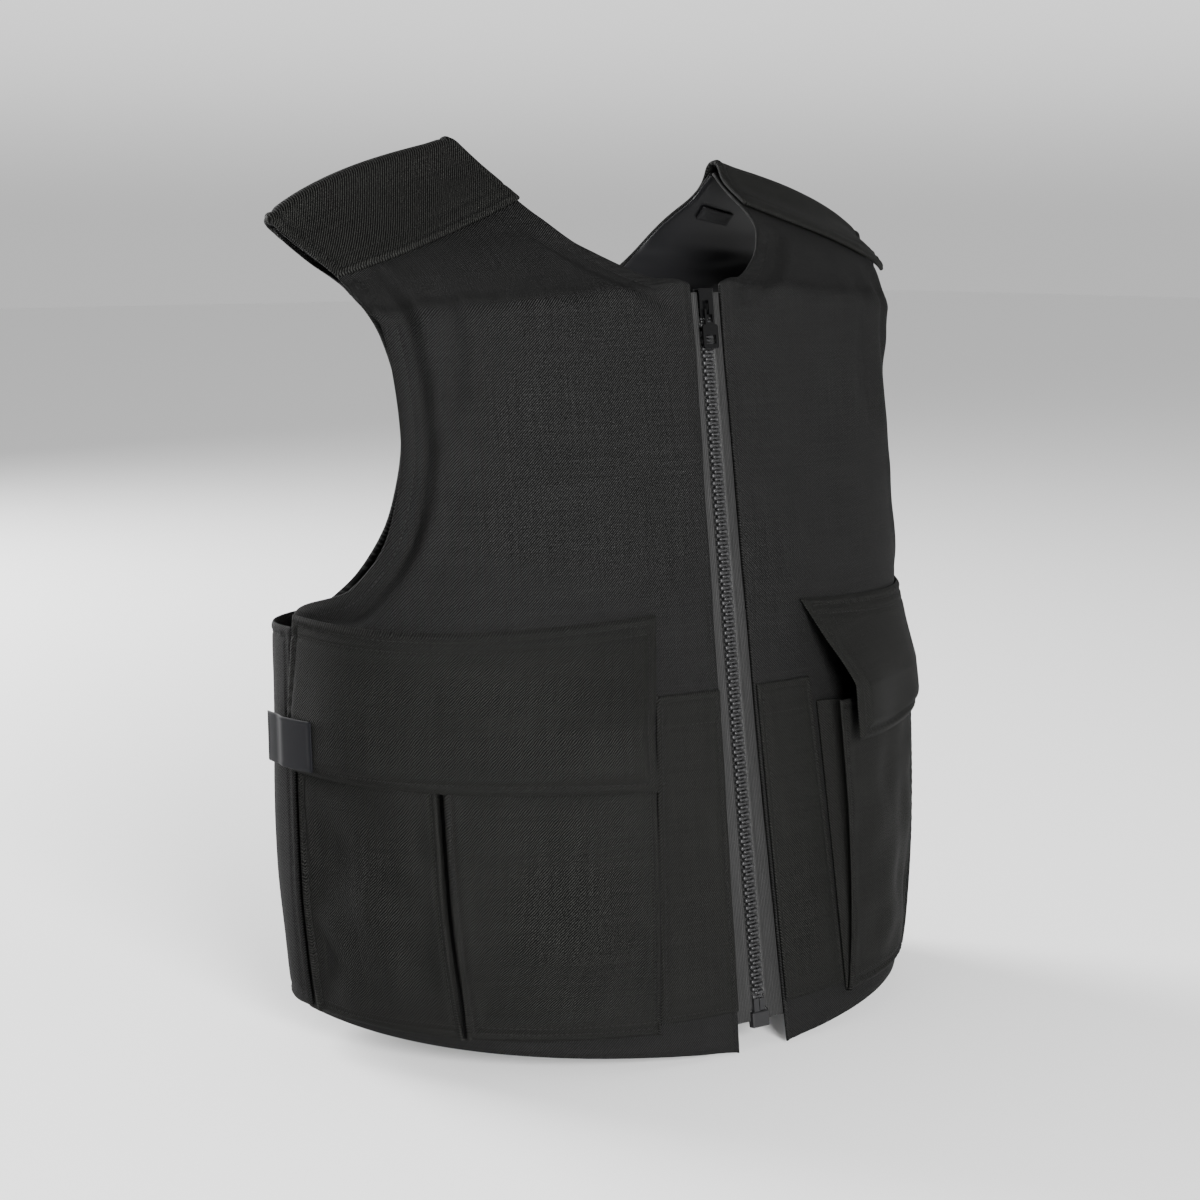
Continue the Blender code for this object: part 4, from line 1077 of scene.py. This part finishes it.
for number, side in enumerate(FLAPS["side"]):
    down, share = dense(1, 0, 76, 0.4)[:, None], dense(0, 1, 120, 0.35)[None, :]
    top = FLAP_TOP - FLAP_DIP * np.sin(np.pi * share)
    bottom = mix(FLAPS["inner_height"][number], FLAPS["outer_height"][number], share)
    height = mix(top, bottom, down)
    ramp = np.clip(down / FLAP_RAMP, 0.0, 1.0)
    soft_ramp = mix(ramp, ease(ramp), 0.35)
    inner_across = mix(FLAPS["inner_top"][number], FLAPS["inner_bottom"][number], ramp)
    angle = mix(angle_at(inner_across, height), FLAP_OUTER, share)
    over = mix(FLAPS["lift"][number], pocket_depth(height), ease(share / 0.35)) * depth_share(angle)
    stand = SEAM_GAP + CLOTH_WALL + (SEAM_GAP + CLOTH_WALL + over) * np.maximum(ramp, soft_ramp)
    ground = raised(FRONT, angle, height, stand, side)
    inward = edge_run(ground)
    from_top = lengths(ground[::-1], 0)[::-1]
    along = lengths(ground, 1)
    wave = np.sin(along * 44 + 2.2 * number) * np.sin(height * 70 + along * 12)
    hang = 0.0046 * ramp * np.sin(along * 34 + 1.3 + number) * ease((from_top - 0.02) / 0.05)
    hang = (hang + 0.0012 * ramp * np.sin(along * 71 + height * 30)) * ease((1 - share) / 0.16)
    relief = (0.0009 * wave * ramp + hang * 0.5 + 0.0020 * ramp) * ease(inward / 0.012)
    relief = relief + hemmed(inward, along + height, FLAP_SEAM)
    relief = relief + stitched(from_top, FLAP_BAND, 0.0007, 0.0017) + lip(inward, 0.0007, 0.0018)
    face = raised(FRONT, angle, height, stand + relief, side)
    back = raised(FRONT, angle, height, stand - CLOTH_WALL, side)
    piece = shell(f"cloth_flap_{side}", face, back, POCKETING, rim=0.8)
    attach(piece, "vest")
    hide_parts(f"pocket_flap_{side}")
    normal = face_normals(face, raised(FRONT, angle, height, 1.0, side) - face)
    seams = frame_seams(face, normal, FLAP_SEAM)
    seams.append(edge_line(face, normal, "last row", FLAP_BAND, 0.004, 0.004))
    seams.append(edge_line(face[-24:], normal[-24:], "first column", FLAP_SEAM + TACK_WIDTH, 0.006, 0.002))
    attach(sew(f"flap_stitching_{side}", seams), "vest")


# The slip pockets: flat patches of pocket cloth between the zip and the bellows pockets, open at the top,
# where the edge is turned in and sewn down 19 mm below.
SLIP_INNER = (0.0200, 0.0155)
SLIP_OUTER = (0.0745, 0.0615)
SLIP_HEIGHTS = (0.026, 0.221)
SLIP_HEM = 0.0190
SLIP_SEAM = 0.0035
SEAT_GAP = 0.0003

for side in ("right", "left"):
    height = dense(*SLIP_HEIGHTS, 110, 0.4)[:, None]
    inner = np.interp(height, SLIP_HEIGHTS, SLIP_INNER)
    outer = np.interp(height, SLIP_HEIGHTS, SLIP_OUTER)
    angle = angle_at(mix(inner, outer, dense(0, 1, 40, 0.5)[None, :]), height)
    ground = raised(FRONT, angle, height, SEAT_GAP + CLOTH_WALL, side)
    inward = edge_run(ground)
    from_top, along = lengths(ground[::-1], 0)[::-1], lengths(ground, 1)
    mouth = 0.0011 * bump(from_top, 0.0, 0.010) * ease(inward[:1] / 0.02)
    wave = 0.0005 * np.sin(height * 52 + along * 30) * ease(inward / 0.01)
    relief = np.maximum(wave, 0.0) + mouth * ease(along / 0.012)
    relief = relief + hemmed(inward, height, SLIP_SEAM) * 0.7 + stitched(from_top, SLIP_HEM, 0.0005, 0.0016)
    relief = relief + lip(inward, 0.0004, 0.0012)
    face = raised(FRONT, angle, height, SEAT_GAP + CLOTH_WALL + relief, side)
    back = raised(FRONT, angle, height, SEAT_GAP + np.maximum(relief, 0.0) * 0.4, side)
    piece = shell(f"cloth_slip_pocket_{side}", face, back, POCKETING, rim=0.8)
    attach(piece, "vest")
    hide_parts(f"slip_pocket_{side}")
    normal = face_normals(face, raised(FRONT, angle, height, 1.0, side) - face)
    seams = frame_seams(face, normal, SLIP_SEAM, ("first row", "first column", "last column"))
    seams.append(edge_line(face, normal, "last row", SLIP_HEM, 0.003, 0.003))
    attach(sew(f"slip_stitching_{side}", seams), "vest")


# The labels: small dense woven tabs with a folded edge, both left bare. One is sewn over the right side
# seam, on the flap and the side panel, and one inside the neck on the lining.
LABEL_WALL = 0.0010
SIDE_LABEL_TURNS = (79.5, 96.0)
SIDE_LABEL_HEIGHTS = (0.179, 0.209)
NECK_LABEL_ACROSS = (0.113, 0.138)
NECK_LABEL_RISES = (0.755, 0.830)
LABEL_CLOTH = satin("woven_label", (0.0026, 0.0027, 0.0037), 0.55, 0.07)
NECK_LABEL_CLOTH = satin("woven_neck_label", (0.0090, 0.0090, 0.0096), 0.55, 0.14)


def tab(name, half, angle, height, distance, side, finish):
    """A flat tab with a low raised border where its edge is folded."""
    ground = raised(half, angle, height, distance, side)
    border = 0.00035 * bump(edge_run(ground), 0.0012, 0.0010)
    sign = np.sign(distance).mean()
    face = raised(half, angle, height, distance + sign * (LABEL_WALL / 2 + border), side)
    back = raised(half, angle, height, distance - sign * LABEL_WALL / 2, side)
    return shell(name, face, back, finish, rim=0.9)


half, angle = around(np.linspace(*SIDE_LABEL_TURNS, 36)[None, :])
height = np.linspace(*SIDE_LABEL_HEIGHTS, 26)[:, None]
half, angle, height = np.broadcast_arrays(half, angle, height)
stand = np.where(half < 0, depth_share(angle), SEAM_DEPTH) * pocket_depth(height)
turn = np.where(half < 0, angle, np.pi - angle)
over_flap = 0.0030 * ease((math.radians(90.5) - turn) / math.radians(3.0))
stand = 2 * (SEAM_GAP + CLOTH_WALL) + stand + over_flap + SEAM_GAP + LABEL_WALL / 2
side_label = tab("bare_side_label", half, angle, height, stand, "right", LABEL_CLOTH)
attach(side_label, "vest")
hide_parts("side_label")
across = np.linspace(*NECK_LABEL_ACROSS, 20)[None, :]
height = ARCH_BASE + np.linspace(*NECK_LABEL_RISES, 14)[:, None] * (ridge(across) - ARCH_BASE)
depth = EDGE_WALL + LINING_GAP + LINING_WALL + SEAM_GAP + 0.0005
neck_label = tab("bare_neck_label", BACK, angle_at(across, height), height,
                 np.full(height.shape, -depth), "left", NECK_LABEL_CLOTH)
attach(neck_label, "vest")
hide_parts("neck_label")


# The zip: grey woven tapes behind the panels' edges, moulded black plastic teeth, a black enamelled
# slider with its puller, and a box and pin at the foot. It runs on a straight line up the front, and the
# tapes are sewn to the edges.
ZIP_FOOT = np.array((0.0, -0.1790, 0.018 - SEAT_HEIGHT))
ZIP_HEAD = np.array((0.0, -0.1210, 0.464 - SEAT_HEIGHT))
ZIP_UP = (ZIP_HEAD - ZIP_FOOT) / np.linalg.norm(ZIP_HEAD - ZIP_FOOT)
ZIP_OUT = np.array((0.0, -ZIP_UP[2], ZIP_UP[1]))
TAPE_WALL = 0.0007
TAPE_INNER = 0.0048
TAPE_OUTER = 0.0205
TAPE_SPAN = (-0.0010, 0.4475)
TAPE_NOTCH = (0.0070, 0.0044)
TAPE_MIDDLE = 0.0004  # the two tapes' inner edges lie close together behind the teeth
TAPE_FOLD = 0.0005
TUCK_DEPTH = 0.0023
BEHIND_TEETH = (0.0165, 0.4275)  # the stretch between the box and the slider
TAPE_TOP = -EDGE_WALL - 3 * SEAT_GAP


def zip_points(across, along, out):
    """Places in the zip's own frame: across the front, up the zip and out of the front."""
    across, along, out = (value[..., None] for value in np.broadcast_arrays(across, along, out))
    return ZIP_FOOT + across * (1.0, 0.0, 0.0) + along * ZIP_UP + out * ZIP_OUT


# The tape's weave colour paints shade too: its dark is the shade in the grooves between the ribs, its light
# the grey yarn on the rib tops.
TAPE_CLOTH = twill("zip_tape_cloth", (0.0045, 0.0045, 0.0045), (0.0190, 0.0190, 0.0187), roughness=0.6,
                   slope=0.0, pitch=0.00125, relief=0.00016, gloss=0.16)

for side, sign in (("right", -1), ("left", 1)):
    along = dense(*TAPE_SPAN, 150, 0.1)[:, None]
    behind = ease((along - BEHIND_TEETH[0]) / 0.0015) * ease((BEHIND_TEETH[1] - along) / 0.0015)
    inner = mix(TAPE_NOTCH[0], TAPE_INNER, ease((along - TAPE_NOTCH[1]) / 0.0006))
    edge, fold = mix(inner, TAPE_MIDDLE, behind), mix(inner + TAPE_FOLD, TAPE_INNER, behind)
    across = np.concatenate([mix(edge, fold, np.linspace(0, 1, 4)[None, :]),
                             mix(fold + TAPE_FOLD, TAPE_OUTER, np.linspace(0, 1, 19)[None, :])], axis=1)
    depth = -TUCK_DEPTH * behind * (np.arange(across.shape[1]) < 4)[None, :]
    cord = 0.00025 * bump(across, TAPE_INNER + 0.0018, 0.0011)
    wave = 0.00018 * np.sin(along * 210) * bump(across, 0.0095, 0.003)
    face = zip_points(sign * across, along, TAPE_TOP + np.minimum(cord + wave, 0.00025) + depth)
    back = zip_points(sign * across, along, TAPE_TOP - TAPE_WALL + depth)
    uv = np.stack(np.broadcast_arrays(across, along), axis=-1)
    piece = shell(f"woven_zip_tape_{side}", face, back, TAPE_CLOTH, uv, rim=0.8)
    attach(piece, "vest")
    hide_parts(f"zip_tape_{side}")


def moulded(name, colour, roughness, mottle, gloss, coat=0.0):
    """Plastic or enamel: one colour, with a roughness that wanders a little and a faint unevenness of the
    face."""
    made, shader, wave = new_material(name, colour, roughness)
    shader.inputs["Specular IOR Level"].default_value = gloss
    place = wave.node("ShaderNodeTexCoord", out=3)
    patch = noise(wave, place, 260.0, 3.0)
    (patch * mottle + (roughness - mottle / 2)).feed(shader, "Roughness")
    emboss(wave, shader, noise(wave, place, 1400.0), 0.0001, 0.12)
    shader.inputs["Coat Weight"].default_value = coat
    return made


TOOTH_PLASTIC = moulded("moulded_teeth", (0.010, 0.010, 0.0105), 0.44, 0.16, 0.30)
ENAMEL = moulded("black_enamel", (0.0014, 0.0014, 0.0015), 0.24, 0.12, 0.08, 0.02)
BOX_PLASTIC = moulded("moulded_box", (0.0080, 0.0080, 0.0084), 0.45, 0.12, 0.18)
CHAIN_MIDDLE = TAPE_TOP - TAPE_WALL / 2
CHAIN_START = 0.0125
TOOTH_PITCH = 0.0046
TOOTH_COUNT = 93
TOOTH_FOOT = 0.00085  # from the chain's start to the middle of its first tooth
TOOTH = dict(zip(("across", "half_length", "half_height"), np.array((
    (-0.0024, 0.00042, 0.00080),
    (-0.0021, 0.00082, 0.00120),
    (-0.0010, 0.00086, 0.00132),
    (0.0002, 0.00066, 0.00128),
    (0.0014, 0.00072, 0.00132),
    (0.0024, 0.00118, 0.00142),
    (0.0034, 0.00140, 0.00150),
    (0.0042, 0.00134, 0.00138),
    (0.0045, 0.00080, 0.00096),
)).T))
TOOTH_SIDES = 10
TOOTH_SQUARENESS = 0.62  # the power on sine and cosine: below 1 squares the round


def squared(wave):
    """A sine or cosine raised to the power, with its sign kept."""
    return np.sign(wave) * np.abs(wave) ** TOOTH_SQUARENESS


def teeth(name, sign, first):
    """One side's teeth. Each is a row of squared rounds along its length, with the table's half length up
    the zip and half height out of it, closed at both ends; the row is repeated at the chain's pitch."""
    turn = turns(TOOTH_SIDES)
    across = np.repeat(TOOTH["across"][:, None], len(turn), axis=1)
    along = TOOTH["half_length"][:, None] * squared(np.cos(turn))[None, :]
    out = TOOTH["half_height"][:, None] * squared(np.sin(turn))[None, :]
    middles = CHAIN_START + first + TOOTH_FOOT + np.arange(TOOTH_COUNT) * TOOTH_PITCH
    points = zip_points(sign * across[None], middles[:, None, None] + along[None], CHAIN_MIDDLE + out[None])
    number = np.arange(points[..., 0].size).reshape(points.shape[:3])
    a, b = number[:, :-1], number[:, 1:]
    quads = np.stack([a, b, np.roll(b, -1, axis=2), np.roll(a, -1, axis=2)], axis=-1).reshape(-1, 4)
    caps = np.concatenate([number[:, 0], number[:, -1, ::-1]])
    quads, caps = (quads, caps) if sign > 0 else (quads[:, ::-1], caps[:, ::-1])
    return capped(name, points, quads, caps, TOOTH_PLASTIC)


for side, sign, first in (("right", -1, 0.0), ("left", 1, TOOTH_PITCH / 2)):
    piece = teeth(f"moulded_teeth_{side}", sign, first)
    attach(piece, "vest")
    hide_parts(f"zip_teeth_{side}")

for node, finish in (("zip_slider", ENAMEL), ("zip_puller", ENAMEL),
                     ("zip_box", BOX_PLASTIC), ("zip_pin", BOX_PLASTIC)):
    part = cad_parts[node]
    part.data.materials.clear()
    part.data.materials.append(finish)


# The world round it: a pale floor just under the hem, a broad soft key light in front, a weak fill from
# the other side, a light from above and one for the back, and the camera at the photograph's place.
FLOOR_REACH = 14.0
FLOOR_GAP = 0.0015
LIGHTS_AIM = (0, 0, -0.27)
floor_mesh = bpy.data.meshes.new("floor")
reach, level = FLOOR_REACH, cad_low[2] - FLOOR_GAP
floor_mesh.from_pydata([(-reach, -reach, level), (reach, -reach, level), (reach, reach, level),
                        (-reach, reach, level)], [], [(0, 1, 2, 3)])
floor_finish, shader, _ = new_material("pale_floor", (0.93, 0.93, 0.93), 0.85)
floor = add_piece("floor", floor_mesh, floor_finish)
world = bpy.data.worlds.new("studio")
bpy.context.scene.world = world
world.use_nodes = True
sky = world.node_tree.nodes["Background"]
sky.inputs["Color"].default_value = (1.0, 1.0, 1.0, 1.0)
wave = Wave(world.node_tree, None)
up = wave.node("ShaderNodeSeparateXYZ", inputs={0: wave.node("ShaderNodeTexCoord", out=0)}, out=2)
(up.between(0.0, 0.09) * 0.65 + 0.65 - up.between(0.10, 0.75) * 0.85).feed(sky, "Strength")
lights = (("key", (-1.05, -3.05, 0.35), 1.3, 370.0), ("fill", (2.0, -2.4, 0.5), 1.8, 4.0),
          ("top", (0.2, 0.6, 2.7), 1.8, 10.0), ("back", (-0.8, 3.0, 0.9), 1.8, 260.0))
for name, place, size, power in lights:
    data = bpy.data.lights.new(name, "AREA")
    data.shape, data.size, data.energy = "DISK", size, power
    lamp = bpy.data.objects.new(name, data)
    lamp.location = place
    lamp.rotation_euler = (Vector(LIGHTS_AIM) - Vector(place)).to_track_quat("-Z", "Y").to_euler()
    bpy.context.scene.collection.objects.link(lamp)
CAMERA_PLACE = (-1.0595, -1.3779, 0.5014 - SEAT_HEIGHT)
CAMERA_YAW = math.radians(37.868)  # to the right of looking straight at the front
CAMERA_PITCH = math.radians(-7.956)
lens = bpy.data.cameras.new("camera")
lens.sensor_width, lens.lens = 36.0, 80.19
camera = bpy.data.objects.new("camera", lens)
camera.location = CAMERA_PLACE
camera.rotation_euler = (math.pi / 2 + CAMERA_PITCH, 0, -CAMERA_YAW)
bpy.context.scene.collection.objects.link(camera)
bpy.context.scene.camera = camera
